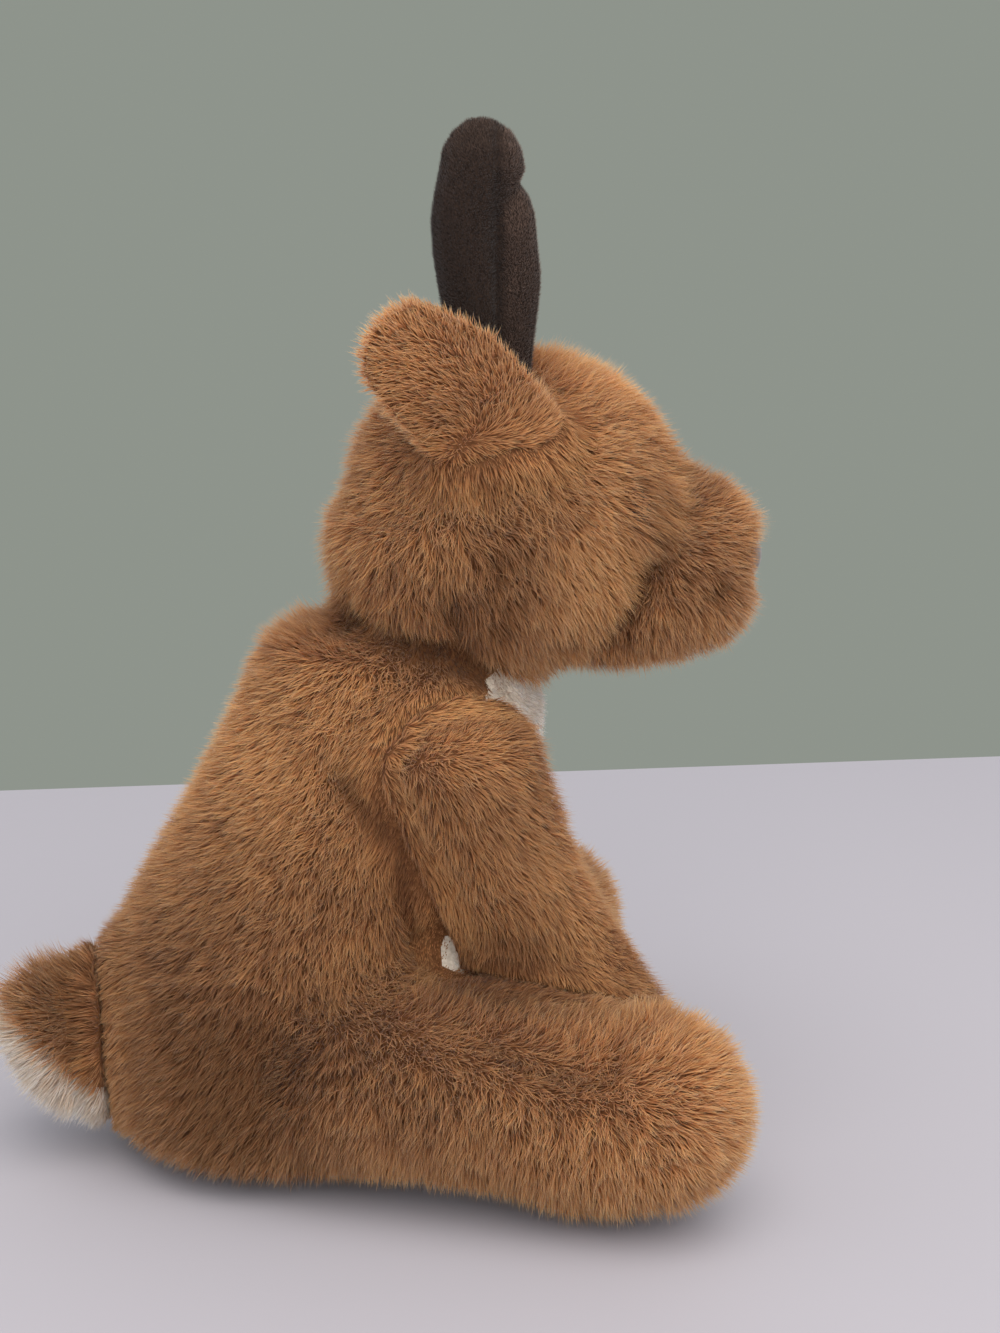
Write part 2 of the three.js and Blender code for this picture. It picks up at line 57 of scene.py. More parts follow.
def makeCamera(c):
    data = bpy.data.cameras.new("camera")
    data.lens = c["lens"]
    data.sensor_width = c["sensor"]
    data.clip_start = c["nearest"]
    obj = bpy.data.objects.new("camera", data)
    scene.collection.objects.link(obj)
    away = Vector((-1, 0, math.tan(math.radians(c["pitch"])))) * c["distance"]
    obj.location = Vector(c["aim"]) + away
    obj.rotation_euler = (-away).to_track_quat("-Z", "Y").to_euler()
    scene.camera = obj
    return obj


cameraObject = makeCamera(camera)
cameraTurn = cameraObject.rotation_euler.to_matrix()
pictureWidth, pictureHeight = camera["picture"]
focalPixels = camera["lens"] / camera["sensor"] * pictureHeight


# A point given in the picture: its pixel, and how many millimetres out from the middle it lies
def seenPoint(x, y, out):
    ray = cameraTurn @ Vector((x - pictureWidth / 2, pictureHeight / 2 - y, -focalPixels))
    start = cameraObject.location
    return start + ray * ((-out / 1000 - start.x) / ray.x)


# A guide for the nap: such a point, and a way across and down in the picture
def seenGuide(x, y, out, across, down):
    return seenPoint(x, y, out), cameraTurn @ Vector((across, -down, 0))


# Small node helpers
def newMaterial(name):
    mat = bpy.data.materials.new(name)
    mat.use_nodes = True
    nodes, links = mat.node_tree.nodes, mat.node_tree.links
    nodes.clear()
    out = nodes.new("ShaderNodeOutputMaterial")
    shader = nodes.new("ShaderNodeBsdfPrincipled")
    links.new(shader.outputs["BSDF"], out.inputs["Surface"])
    return mat, nodes, links, shader


def setInputs(node, values):
    for key, value in values.items():
        node.inputs[key].default_value = value


def toLinear(rgb):
    return tuple(c / 12.92 if c <= 0.04045 else ((c + 0.055) / 1.055) ** 2.4 for c in (v / 255 for v in rgb))


def addRamp(nodes, stops):
    ramp = nodes.new("ShaderNodeValToRGB")
    elements = ramp.color_ramp.elements
    while len(elements) < len(stops):
        elements.new(0.5)
    for element, (place, color) in zip(elements, stops):
        element.position = place
        element.color = (*toLinear(color), 1)
    return ramp


# The base colour varies between stops by a fine noise, which is handed back
def addGrain(nodes, links, shader, grain, detail, stops):
    coord = nodes.new("ShaderNodeTexCoord")
    noise = nodes.new("ShaderNodeTexNoise")
    setInputs(noise, {"Scale": grain, "Detail": detail})
    links.new(coord.outputs["Object"], noise.inputs["Vector"])
    ramp = addRamp(nodes, stops)
    links.new(noise.outputs["Fac"], ramp.inputs["Fac"])
    links.new(ramp.outputs["Color"], shader.inputs["Base Color"])
    return noise


# Fur: each strand's map holds its own tone across, from dark to light, and its height up the pile. Each ramp darkens
# towards the root: partly the fibres' own colour, partly painted shade deep in the pile
furTones = {
    "brown": {
        "dark": [(0.0, (76, 45, 26)), (0.35, (92, 57, 33)), (0.7, (110, 69, 41)), (1.0, (126, 81, 49))],
        "light": [(0.0, (150, 95, 55)), (0.35, (194, 131, 80)), (0.7, (232, 166, 106)), (1.0, (248, 192, 134))],
        "sheen": 0.10,
        "through": 0.8,
    },
    "cream": {
        "dark": [(0.0, (140, 112, 88)), (0.4, (176, 148, 122)), (1.0, (206, 180, 154))],
        "light": [(0.0, (206, 196, 186)), (0.4, (236, 228, 220)), (1.0, (250, 247, 242))],
        "sheen": 0.1,
        "through": 0.6,
    },
    "suede": {
        "dark": [(0.0, (26, 19, 16)), (0.5, (42, 32, 28)), (1.0, (56, 44, 39))],
        "light": [(0.0, (68, 53, 46)), (0.5, (118, 95, 82)), (1.0, (152, 126, 111))],
        "sheen": 0.2,
        "through": 0.0,
    },
}


def makeFurMaterial(name, tones):
    mat, nodes, links, shader = newMaterial(name)
    uv = nodes.new("ShaderNodeUVMap")
    uv.uv_map = "OFBake"
    split = nodes.new("ShaderNodeSeparateXYZ")
    links.new(uv.outputs["UV"], split.inputs["Vector"])
    mix = nodes.new("ShaderNodeMix")
    mix.data_type = "RGBA"
    links.new(split.outputs["X"], mix.inputs["Factor"])
    for key, socket in (("dark", "A"), ("light", "B")):
        ramp = addRamp(nodes, tones[key])
        links.new(split.outputs["Y"], ramp.inputs["Fac"])
        links.new(ramp.outputs["Color"], mix.inputs[socket])
    links.new(mix.outputs["Result"], shader.inputs["Base Color"])
    setInputs(shader, {"Roughness": 0.85, "Specular IOR Level": 0.15, "Sheen Weight": tones["sheen"],
                       "Sheen Roughness": 0.5, "Subsurface Weight": tones["through"],
                       "Subsurface Radius": (1.0, 0.68, 0.50), "Subsurface Scale": 0.0002})
    return mat


furMaterials = {key: makeFurMaterial(f"{key}_fur_strands", tones) for key, tones in furTones.items()}


def makeClothMaterial(name, low, high, grain):
    mat, nodes, links, shader = newMaterial(name)
    addGrain(nodes, links, shader, grain, 4, [(0.35, low), (0.65, high)])
    setInputs(shader, {"Roughness": 0.95, "Specular IOR Level": 0.1})
    return mat


clothMaterials = {
    "brown": makeClothMaterial("brown_backing", (94, 60, 37), (118, 78, 49), 900),
    "cream": makeClothMaterial("cream_backing", (196, 182, 164), (222, 210, 194), 900),
    "suede": makeClothMaterial("antler_suede_cloth", (30, 22, 18), (56, 44, 37), 1500),
}


sides = ("right", "left")


def both(part):
    return [f"{side}_{part}" for side in sides]


# Meshes taken from the frame
def joinNodes(nodeNames):
    bm = bmesh.new()
    for node in nodeNames:
        bm.from_mesh(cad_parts[node].data)
    return bm


def linkMesh(name, mesh):
    obj = bpy.data.objects.new(name, mesh)
    scene.collection.objects.link(obj)
    return obj


def bake(obj):
    graph = bpy.context.evaluated_depsgraph_get()
    mesh = bpy.data.meshes.new_from_object(obj.evaluated_get(graph))
    old = obj.data
    obj.modifiers.clear()
    obj.data = mesh
    bpy.data.meshes.remove(old)


def bakeModifier(obj, name, kind, **settings):
    modifier = obj.modifiers.new(name, kind)
    for key, setting in settings.items():
        setattr(modifier, key, setting)
    bake(obj)


def keepLargest(mesh):
    bm = bmesh.new()
    bm.from_mesh(mesh)
    left, shells = set(bm.verts), []
    while left:
        shell, queue = [], [left.pop()]
        while queue:
            vert = queue.pop()
            shell.append(vert)
            others = {edge.other_vert(vert) for edge in vert.link_edges} & left
            left -= others
            queue += others
        shells.append(shell)
    shells.sort(key=lambda shell: np.linalg.norm(np.ptp(np.array([v.co for v in shell]), axis=0)))
    bmesh.ops.delete(bm, geom=[v for shell in shells[:-1] for v in shell], context="VERTS")
    bm.to_mesh(mesh)
    bm.free()


filledShare = 0.9


# Smoothing shrinks what bulges, so those points go most of the way back out to the solids
def fillOut(mesh, tree):
    points, normals = readPoints(mesh)
    for i, normal in enumerate(normals):
        place = Vector(points[i])
        nearest = tree.find_nearest(place)[0]
        if nearest is not None and (nearest - place).dot(Vector(normal)) > 0:
            points[i] = place.lerp(nearest, filledShare)
    writePoints(mesh, points)


def shadeSmooth(mesh):
    mesh.polygons.foreach_set("use_smooth", np.ones(len(mesh.polygons), bool))


# One smooth closed form over several CAD solids
def blendedForm(name, nodeNames, voxel, smoothTimes):
    bm = joinNodes(nodeNames)
    bmesh.ops.remove_doubles(bm, verts=bm.verts, dist=1e-6)
    mesh = bpy.data.meshes.new(name)
    bm.to_mesh(mesh)
    bm.free()
    obj = linkMesh(name, mesh)
    bakeModifier(obj, "remesh", "REMESH", mode="VOXEL", voxel_size=voxel)
    keepLargest(obj.data)
    bakeModifier(obj, "smooth", "SMOOTH", factor=0.5, iterations=smoothTimes)
    fillOut(obj.data, nodeTree(nodeNames))
    shadeSmooth(obj.data)
    obj.data.name = name
    return obj


def readPoints(mesh):
    rows = np.empty((2, len(mesh.vertices) * 3))
    for key, row in zip(("co", "normal"), rows):
        mesh.vertices.foreach_get(key, row)
    return rows[0].reshape(-1, 3), rows[1].reshape(-1, 3)


def writePoints(mesh, points):
    mesh.vertices.foreach_set("co", points.ravel())
    mesh.update()


def nodeTree(nodeNames):
    bm = joinNodes(nodeNames)
    tree = BVHTree.FromBMesh(bm)
    bm.free()
    return tree


def distancesTo(tree, points):
    return np.array([tree.find_nearest(Vector(p))[3] for p in points])


# How far ahead of each point, along its normal, a neighbour lies; the search starts a little behind it
def gapsAhead(tree, points, normals, reach, behind=0.0004):
    gaps = np.full(len(points), reach)
    for i, (point, normal) in enumerate(zip(points, normals)):
        distance = tree.ray_cast(Vector(point - normal * behind), Vector(normal), reach)[3]
        if distance is not None:
            gaps[i] = distance - behind
    return gaps


def smoothStep(low, high, values):
    t = np.clip((values - low) / (high - low), 0, 1)
    return t * t * (3 - 2 * t)


# From the least value up to 1, as the share goes from 0 to 1
def atLeast(least, share):
    return least + (1 - least) * share


def mirrored(rows, across):
    return rows - 2 * (rows @ across)[:, None] * across


# The part of each row that lies along the surface
def laidFlat(rows, normals):
    return rows - normals * (rows * normals).sum(1)[:, None]


napBlend = {"core": 0.003, "power": 3, "least": 0.25}  # of guides: a core in metres; the least length of the nap


# Direction of the nap between the given guides on the right side, mirrored across a plane for the left
def napField(points, normals, guides, across):
    across = np.array(across)
    left = (points @ across > 0)[:, None]
    near = np.where(left, mirrored(points, across), points)
    spots = np.array([place for place, way in guides])
    ways = np.array([way for place, way in guides], float)
    gaps = np.linalg.norm(near[:, None, :] - spots[None], axis=2)
    weights = 1 / (gaps + napBlend["core"]) ** napBlend["power"]
    field = (weights[:, :, None] * ways[None]).sum(1) / weights.sum(1)[:, None]
    field = laidFlat(np.where(left, mirrored(field, across), field), normals)
    length = np.linalg.norm(field, axis=1)[:, None]
    return field / np.maximum(length, napBlend["least"]) * np.linalg.norm(ways, axis=1).mean()


def dropAttribute(mesh, name):
    old = mesh.attributes.get(name)
    if old:
        mesh.attributes.remove(old)


def setFields(form, **fields):
    for name, values in fields.items():
        dropAttribute(form.data, name)
        vector = name == "nap"
        attribute = form.data.attributes.new(name, "FLOAT_VECTOR" if vector else "FLOAT", "POINT")
        rows = values if vector else np.broadcast_to(values, len(form.data.vertices))
        attribute.data.foreach_set("vector" if vector else "value", np.asarray(rows, float).ravel())


# A strand: a long thin spike, one unit tall, with its broad side to +X and its foot inside the cloth
def makeStrand():
    mesh = bpy.data.meshes.new("strand")
    foot = [(0.12, -0.5, 0), (0.12, 0.5, 0), (-0.24, 0, 0)]
    mesh.from_pydata(foot + [(0, 0, 1)], [], [(0, 2, 1), (0, 1, 3), (1, 2, 3), (2, 0, 3)])
    along = mesh.attributes.new("along", "FLOAT", "POINT")
    along.data.foreach_set("value", [0.0, 0.0, 0.0, 1.0])
    mesh.update()
    return linkMesh("strand", mesh)


class TreeMaker:
    def __init__(self, name):
        self.tree = bpy.data.node_groups.new(name, "GeometryNodeTree")
        self.sockets = {}
        self.tree.interface.new_socket("Geometry", in_out="INPUT", socket_type="NodeSocketGeometry")
        self.tree.interface.new_socket("Geometry", in_out="OUTPUT", socket_type="NodeSocketGeometry")
        self.source = self.tree.nodes.new("NodeGroupInput")
        self.sink = self.tree.nodes.new("NodeGroupOutput")

    def value(self, name, kind, default=None):
        socket = self.tree.interface.new_socket(name, in_out="INPUT", socket_type=kind)
        if default is not None:
            socket.default_value = default
        self.sockets[name] = socket.identifier
        return self.source.outputs[name]

    def add(self, kind, inputs=None, **settings):
        node = self.tree.nodes.new(kind)
        for key, setting in settings.items():
            setattr(node, key, setting)
        for key, source in (inputs or {}).items():
            socket = node.inputs[key]
            if isinstance(source, bpy.types.NodeSocket):
                self.tree.links.new(source, socket)
            else:
                socket.default_value = source
        return node

    def math(self, operation, a, b=0.0, c=0.0):
        return self.add("ShaderNodeMath", {0: a, 1: b, 2: c}, operation=operation).outputs[0]

    def times(self, a, b):
        return self.math("MULTIPLY", a, b)

    def vector(self, operation, a, b=(0, 0, 0)):
        return self.add("ShaderNodeVectorMath", {0: a, 1: b}, operation=operation).outputs[0]

    def scaled(self, a, factor):
        return self.add("ShaderNodeVectorMath", {0: a, "Scale": factor}, operation="SCALE").outputs[0]

    # A colour as a drift to any side
    def drift(self, color, strength):
        return self.scaled(self.vector("SUBTRACT", color, (0.5, 0.5, 0.5)), strength)

    def noise(self, place, scale, detail, output):
        return self.add("ShaderNodeTexNoise", {"Vector": place, "Scale": scale, "Detail": detail}).outputs[output]

    def named(self, name, kind="FLOAT"):
        return self.add("GeometryNodeInputNamedAttribute", {"Name": name}, data_type=kind).outputs["Attribute"]

    def store(self, geometry, name, value, kind, domain="POINT"):
        node = self.add("GeometryNodeStoreNamedAttribute", {"Geometry": geometry, "Name": name, "Value": value},
                        data_type=kind, domain=domain)
        return node.outputs["Geometry"]

    def random(self, low, high, seed):
        return self.add("FunctionNodeRandomValue", {2: low, 3: high, "Seed": seed}, data_type="FLOAT").outputs[1]

    def randomVector(self, reach, seed):
        return self.add("FunctionNodeRandomValue", {0: (-reach,) * 3, 1: (reach,) * 3, "Seed": seed},
                        data_type="FLOAT_VECTOR").outputs[0]


# Each fur's values for the tree's named inputs; an input that a fur leaves out has the first one's value
furSettings = {
    "brown": {"Density": 3.1e6, "Length": 0.0076, "Width": 0.00033, "Lean": 0.62, "Lock Size": 0.0018,
              "Lock Pull": 0.95, "Lock Drift": 0.34, "Swirl": 0.50, "Ruffle": 1.00, "Stray": 0.38,
              "Patchiness": 0.50, "Tone Spread": 0.06, "Flecks": 0.55, "Floor Clear": 0.0004, "Seed": 7},
    "cream": {"Density": 2.9e6, "Length": 0.0075, "Width": 0.00038, "Lean": 0.7, "Lock Size": 0.0030,
              "Lock Pull": 0.35, "Lock Drift": 0.2, "Swirl": 0.6, "Ruffle": 0.8, "Stray": 0.30,
              "Patchiness": 0.2, "Tone Spread": 0.10, "Flecks": 0.3, "Seed": 5},
    "suede": {"Density": 8.5e6, "Length": 0.0011, "Width": 0.00016, "Lean": 0.9, "Lock Size": 0.0012,
              "Lock Pull": 0.1, "Lock Drift": 0.4, "Swirl": 1.0, "Ruffle": 0.4, "Stray": 0.5,
              "Patchiness": 0.3, "Tone Spread": 0.10, "Flecks": 0.2, "Seed": 3},
}
furNoise = {  # waves per metre and detail
    "wander": (260.0, 0.0), "swirl": (55.0, 1.5), "ruffle": (190.0, 1.0), "patch": (38.0, 2.0), "fleck": (330.0, 1.0)}
furSpread = {
    "length": (0.60, 1.10),
    "width": (0.7, 1.25),
    "lockLength": (0.25, 0.90),  # a full clump's part in it, and what it starts from
    "lockTone": 0.30,
    "lockWander": 0.004,  # metres that the locks' borders stray
    "tones": (0.02, 0.98),
}


def makeFurTree(strandObject):
    t = TreeMaker("fur_strands")
    given = {name: t.value(name, f"NodeSocket{type(start).__name__.capitalize()}", start)
             for name, start in furSettings["brown"].items()}
    material = t.value("Material", "NodeSocketMaterial")

    cover = t.times(given["Density"], t.named("cover"))
    points = t.add("GeometryNodeDistributePointsOnFaces",
                   {"Mesh": t.source.outputs["Geometry"], "Density": cover, "Seed": given["Seed"]},
                   distribute_method="RANDOM")
    beyond = t.math("LESS_THAN", t.named("own"), 0.0)  # past the line where the other colour starts
    kept = t.add("GeometryNodeDeleteGeometry", {"Geometry": points.outputs["Points"], "Selection": beyond},
                 domain="POINT").outputs[0]
    normal = points.outputs["Normal"]
    place = t.add("GeometryNodeInputPosition").outputs[0]
    clump = t.named("clump")

    # Locks: strands that lean together towards the middle of their cell
    wander = t.noise(place, *furNoise["wander"], "Color")
    wandered = t.vector("ADD", place, t.drift(wander, furSpread["lockWander"]))
    locks = t.add("ShaderNodeTexVoronoi", {"Vector": wandered, "Scale": t.math("DIVIDE", 1.0, given["Lock Size"]),
                                           "Randomness": 1.0})
    lockOut = {o.name: o for o in locks.outputs}
    lockParts = t.add("ShaderNodeSeparateXYZ", {0: lockOut["Color"]}).outputs
    pull = t.math("DIVIDE", t.times(given["Lock Pull"], clump), given["Length"])

    # Which way a strand points
    way = t.vector("ADD", normal, t.scaled(t.named("nap", "FLOAT_VECTOR"), given["Lean"]))
    for extra in (t.scaled(t.vector("SUBTRACT", lockOut["Position"], wandered), pull),
                  t.drift(t.noise(place, *furNoise["swirl"], "Color"), given["Swirl"]),
                  t.drift(t.noise(place, *furNoise["ruffle"], "Color"), given["Ruffle"]),
                  t.drift(lockOut["Color"], given["Lock Drift"]),
                  t.scaled(t.randomVector(1.0, 11), given["Stray"])):
        way = t.vector("ADD", way, extra)
    way = t.vector("NORMALIZE", way)
    turn = t.add("FunctionNodeAlignRotationToVector", {"Vector": way}, axis="Z")
    turn = t.add("FunctionNodeAlignRotationToVector", {"Rotation": turn.outputs[0], "Vector": normal},
                 axis="X", pivot_axis="Z")

    # How long and how thick it is
    long = t.times(t.times(given["Length"], t.named("pile")), t.random(*furSpread["length"], 3))
    long = t.times(long, t.math("MULTIPLY_ADD", t.times(lockParts["X"], clump), *furSpread["lockLength"]))
    thick = t.times(given["Width"], t.random(*furSpread["width"], 5))
    size = t.add("ShaderNodeCombineXYZ", {0: thick, 1: thick, 2: long})

    # How light it is
    lockTint = t.times(t.math("SUBTRACT", lockParts["Y"], 0.5), t.times(clump, furSpread["lockTone"]))
    patch = t.noise(place, *furNoise["patch"], "Fac")
    patchTint = t.times(t.math("SUBTRACT", patch, 0.5), given["Patchiness"])
    tint = t.math("ADD", t.math("ADD", t.named("tone"), lockTint), patchTint)
    fleck = t.noise(place, *furNoise["fleck"], "Fac")
    tint = t.math("MULTIPLY_ADD", t.math("SUBTRACT", fleck, 0.5), given["Flecks"], tint)
    tint = t.math("MULTIPLY_ADD", t.random(-1.0, 1.0, 9), given["Tone Spread"], tint)
    darkest, lightest = furSpread["tones"]
    tint = t.add("ShaderNodeClamp", {"Value": tint, "Min": darkest, "Max": lightest}).outputs[0]
    cloud = t.store(kept, "tint", tint, "FLOAT")

    strandInfo = t.add("GeometryNodeObjectInfo", {"Object": strandObject})
    placed = t.add("GeometryNodeInstanceOnPoints",
                   {"Points": cloud, "Instance": strandInfo.outputs["Geometry"],
                    "Rotation": turn.outputs[0], "Scale": size.outputs[0]})
    real = t.add("GeometryNodeRealizeInstances", {"Geometry": placed.outputs[0]}).outputs[0]
    spot = t.add("ShaderNodeSeparateXYZ", {0: place}).outputs
    height = t.math("MAXIMUM", spot[2], given["Floor Clear"])  # no strand goes through the floor
    raised = t.add("ShaderNodeCombineXYZ", {0: spot[0], 1: spot[1], 2: height}).outputs[0]
    real = t.add("GeometryNodeSetPosition", {"Geometry": real, "Position": raised}).outputs[0]
    uv = t.add("ShaderNodeCombineXYZ", {0: t.named("tint"), 1: t.named("along")})
    real = t.store(real, "OFBake", uv.outputs[0], "FLOAT2", "CORNER")
    real = t.add("GeometryNodeSetMaterial", {"Geometry": real, "Material": material}).outputs[0]
    t.tree.links.new(real, t.sink.inputs[0])
    return t


strandObject = makeStrand()
furTree = makeFurTree(strandObject)


def growPiece(name, mesh, key):
    obj = linkMesh(name, mesh)
    grower = obj.modifiers.new("fur", "NODES")
    grower.node_group = furTree.tree
    for socket, value in {**furSettings[key], "Material": furMaterials[key]}.items():
        grower[furTree.sockets[socket]] = value
    obj.update_tag()
    bake(obj)
    for attribute in (*napFields, "tint", "along"):
        dropAttribute(obj.data, attribute)
    if not obj.data.materials:
        obj.data.materials.append(furMaterials[key])
    return obj


# The part of a mesh that some of its faces make
def regionMesh(name, source, faces):
    bm = bmesh.new()
    bm.from_mesh(source)
    kept = set(faces)
    bmesh.ops.delete(bm, geom=[face for face in bm.faces if face.index not in kept], context="FACES")
    mesh = bpy.data.meshes.new(name)
    bm.to_mesh(mesh)
    bm.free()
    return mesh


napFields = ("nap", "pile", "tone", "cover", "clump", "own")
facesPerStrand = 4
mostFaces = 190000  # in one piece of fur


def declare(obj, body, nodes):
    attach(obj, body)
    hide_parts(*nodes)


# Fur over some faces of a form, in as many pieces as keep each one light
def growFur(name, form, faces, key, body, nodes):
    mesh = form.data
    centres = np.array([p.center for p in mesh.polygons])
    cover = np.empty(len(mesh.vertices))
    mesh.attributes["cover"].data.foreach_get("value", cover)
    strands = np.array([p.area * cover[p.vertices[0]] for p in mesh.polygons]) * furSettings[key]["Density"]
    groups, done = [np.asarray(faces)], []
    while groups:
        group = groups.pop(0)
        if strands[group].sum() * facesPerStrand <= mostFaces:
            done.append(group)
            continue
        axis = int(np.ptp(centres[group], axis=0).argmax())
        order = group[np.argsort(centres[group, axis])]
        half = np.searchsorted(np.cumsum(strands[order]), strands[order].sum() / 2)
        groups += [order[:half], order[half:]]
    for number, group in enumerate(done, 1):
        pieceName = name if len(done) == 1 else f"{name}_{number}"
        declare(growPiece(pieceName, regionMesh(pieceName, mesh, group), key), body, nodes)


# The backing cloth under the fur; the second colour is on some of its faces
def finishCloth(form, keys, secondFaces, body, nodes):
    for key in keys:
        form.data.materials.append(clothMaterials[key])
    slots = np.zeros(len(form.data.polygons), int)
    slots[secondFaces] = 1
    form.data.polygons.foreach_set("material_index", slots)
    declare(form, body, nodes)


turned = math.radians(10)  # the body under the head
headTurn = (1.0, 0.0, 0.0)  # across the head's middle plane
bodyTurn = (math.cos(turned), math.sin(turned), 0.0)  # across the body's

# Nap guides given on the right side: pixel, millimetres out, way across and down in the picture
napGuides = {
    "body": [
        (300, 640, 20, -0.3, 1), (380, 680, 40, -0.1, 1), (480, 700, 45, 0.1, 1), (520, 740, 45, 0.4, 1),
        (250, 760, 30, -0.4, 1), (330, 780, 48, -0.2, 1), (395, 800, 48, -0.3, 0.8), (180, 850, 30, -0.4, 1),
        (260, 870, 50, -0.3, 1), (350, 880, 52, -0.35, 1), (400, 930, 50, -0.3, 1), (130, 980, 30, -0.5, 0.9),
        (220, 1000, 50, -0.4, 0.8), (300, 1010, 54, 0, 1), (130, 1090, 35, -0.7, 0.6), (200, 1110, 50, -0.5, 0.7),
        (180, 1165, 40, -0.4, 0.6), (250, 700, 0, -0.6, 1), (120, 1000, 0, -0.2, 1),
    ],
    "belly": [
        (530, 700, 30, 0, 1), (520, 760, 10, 0.1, 1), (540, 860, 10, 0, 1), (560, 1000, 10, 0, 1),
    ],
    "head": [
        (345, 430, 10, -0.5, 1), (340, 470, 28, -0.1, 1), (330, 545, 25, 0, 1), (360, 605, 30, 0.9, 0.6),
        (420, 400, 38, -0.2, 1), (400, 500, 42, 0, 1), (400, 580, 42, 0.3, 0.9), (400, 628, 40, 0.9, 0.4),
        (440, 640, 42, 0.9, 0.3), (475, 664, 42, 0.9, 0.35), (470, 490, 45, -0.05, 1), (480, 560, 46, 0.1, 1),
        (460, 600, 45, 0.6, 0.8), (500, 650, 40, 0.4, 0.9), (540, 520, 46, 0.2, 1), (560, 480, 45, 0.6, 0.7),
        (600, 520, 44, 0.8, 0.6), (630, 560, 42, 0.7, 0.8), (600, 600, 43, 0.4, 1), (560, 600, 44, 0.2, 1),
        (620, 460, 42, 1, 0.25), (650, 480, 38, 1, 0.3), (640, 520, 40, 1, 0.3), (560, 420, 42, 0.3, 1),
        (590, 390, 32, 0.6, 0.5), (630, 420, 30, 0.8, 0.5), (560, 345, 10, 0.9, 0.1), (640, 400, 15, 0.8, 0.6),
        (600, 640, 38, 0.3, 0.8), (540, 665, 35, 0.2, 0.9), (500, 350, 25, 0, 1), (400, 380, 8, -1, 0.4),
        (480, 335, 0, -0.3, 0.1), (497, 532, 45, 1, 0.1), (520, 546, 45, 0.8, 0.7), (526, 572, 45, 0.1, 1),
        (470, 536, 45, 0.5, -0.2),
    ],
    "muzzle": [
        (680, 465, 16, 1, 0.3), (730, 490, 18, 1, 0), (765, 505, 8, 1, -0.25), (700, 520, 26, 1, 0.2),
        (700, 560, 27, 0.7, 0.6), (740, 560, 18, 0.6, 0.6), (660, 600, 27, 0.5, 0.8), (700, 620, 24, 0.4, 1),
        (740, 610, 12, 0.8, 0.7), (640, 650, 20, 0.2, 1), (690, 645, 15, 0.3, 1), (760, 600, 4, 1, 0.5),
    ],
    "rear_leg": [
        (300, 1050, 60, 0.1, 1), (370, 1020, 60, 0.6, 0.6), (400, 1080, 64, 0.3, 0.9), (450, 1040, 64, 0.9, 0.3),
        (480, 1005, 60, 0.8, -0.4), (520, 1060, 72, 0.9, 0.3), (560, 1020, 75, 0.8, -0.4), (640, 1030, 78, 0.6, -0.8),
        (570, 1066, 80, 0.6, -0.5), (700, 1045, 75, 0.7, -0.8), (600, 1085, 85, 0.9, 0.2), (560, 1120, 85, 0.3, 0.8),
        (660, 1095, 85, 1, 0.1), (715, 1110, 75, 1, 0.1), (700, 1170, 75, 0.8, 0.6), (620, 1190, 80, 0.3, 1),
        (500, 1160, 75, 0.2, 1), (500, 1110, 76, 0.3, 0.9), (430, 1160, 65, 0, 1), (350, 1140, 60, -0.2, 1),
        (750, 1110, 60, 0.6, 0.1), (640, 1060, 40, 1, 0.1),
    ],
    "front_leg": [
        (425, 748, 40, 1.6, 0.3), (440, 738, 46, 1.6, 0.2), (480, 728, 44, 1.6, 0.3), (515, 730, 38, 1.4, 0.6),
        (425, 785, 44, 0.5, 1), (450, 762, 50, 1.2, 0.8), (540, 770, 40, 0.5, 1), (480, 800, 46, 0.6, 1),
        (440, 820, 46, 0.4, 1), (460, 860, 44, 0.7, 0.6), (490, 890, 42, 0.6, -0.1), (440, 900, 40, 0.2, 1),
        (470, 940, 40, 0.1, 1), (560, 900, 40, 0.3, 1), (600, 950, 36, 0.5, 0.9), (650, 975, 34, 0.8, 0.5),
        (520, 960, 38, 0.1, 1),
    ],
    "ear": [
        (530, 452, 44, 0.9, -0.1), (495, 462, 48, 0.5, 0.6), (525, 400, 46, 0.2, -0.9), (470, 400, 52, -0.8, -0.5),
        (420, 370, 56, -0.9, -0.4), (400, 320, 56, -0.7, -0.8), (368, 345, 56, -1, -0.3), (440, 308, 54, -0.4, -0.9),
        (500, 350, 50, -0.2, -1), (430, 422, 54, -0.7, 0.4), (380, 385, 56, -0.8, 0.5), (500, 425, 50, 0.1, -0.3),
    ],
    "tail": [
        (90, 960, 10, -0.8, -0.6), (80, 1010, 20, -1, 0), (30, 990, 10, -1, -0.1), (50, 950, 0, -0.8, -0.8),
        (40, 1050, 10, -0.7, 0.6), (80, 1080, 15, -0.5, 1), (60, 1110, 5, -0.4, 1),
    ],
}
napGuides = {key: [seenGuide(*row) for row in rows] for key, rows in napGuides.items()}


# The faces with at least such a share of their corners in a region
def facesOf(form, vertexRegion, index, least=0.5):
    votes = [np.mean([vertexRegion[v] == index for v in p.vertices]) for p in form.data.polygons]
    return np.nonzero(np.array(votes) >= least)[0]


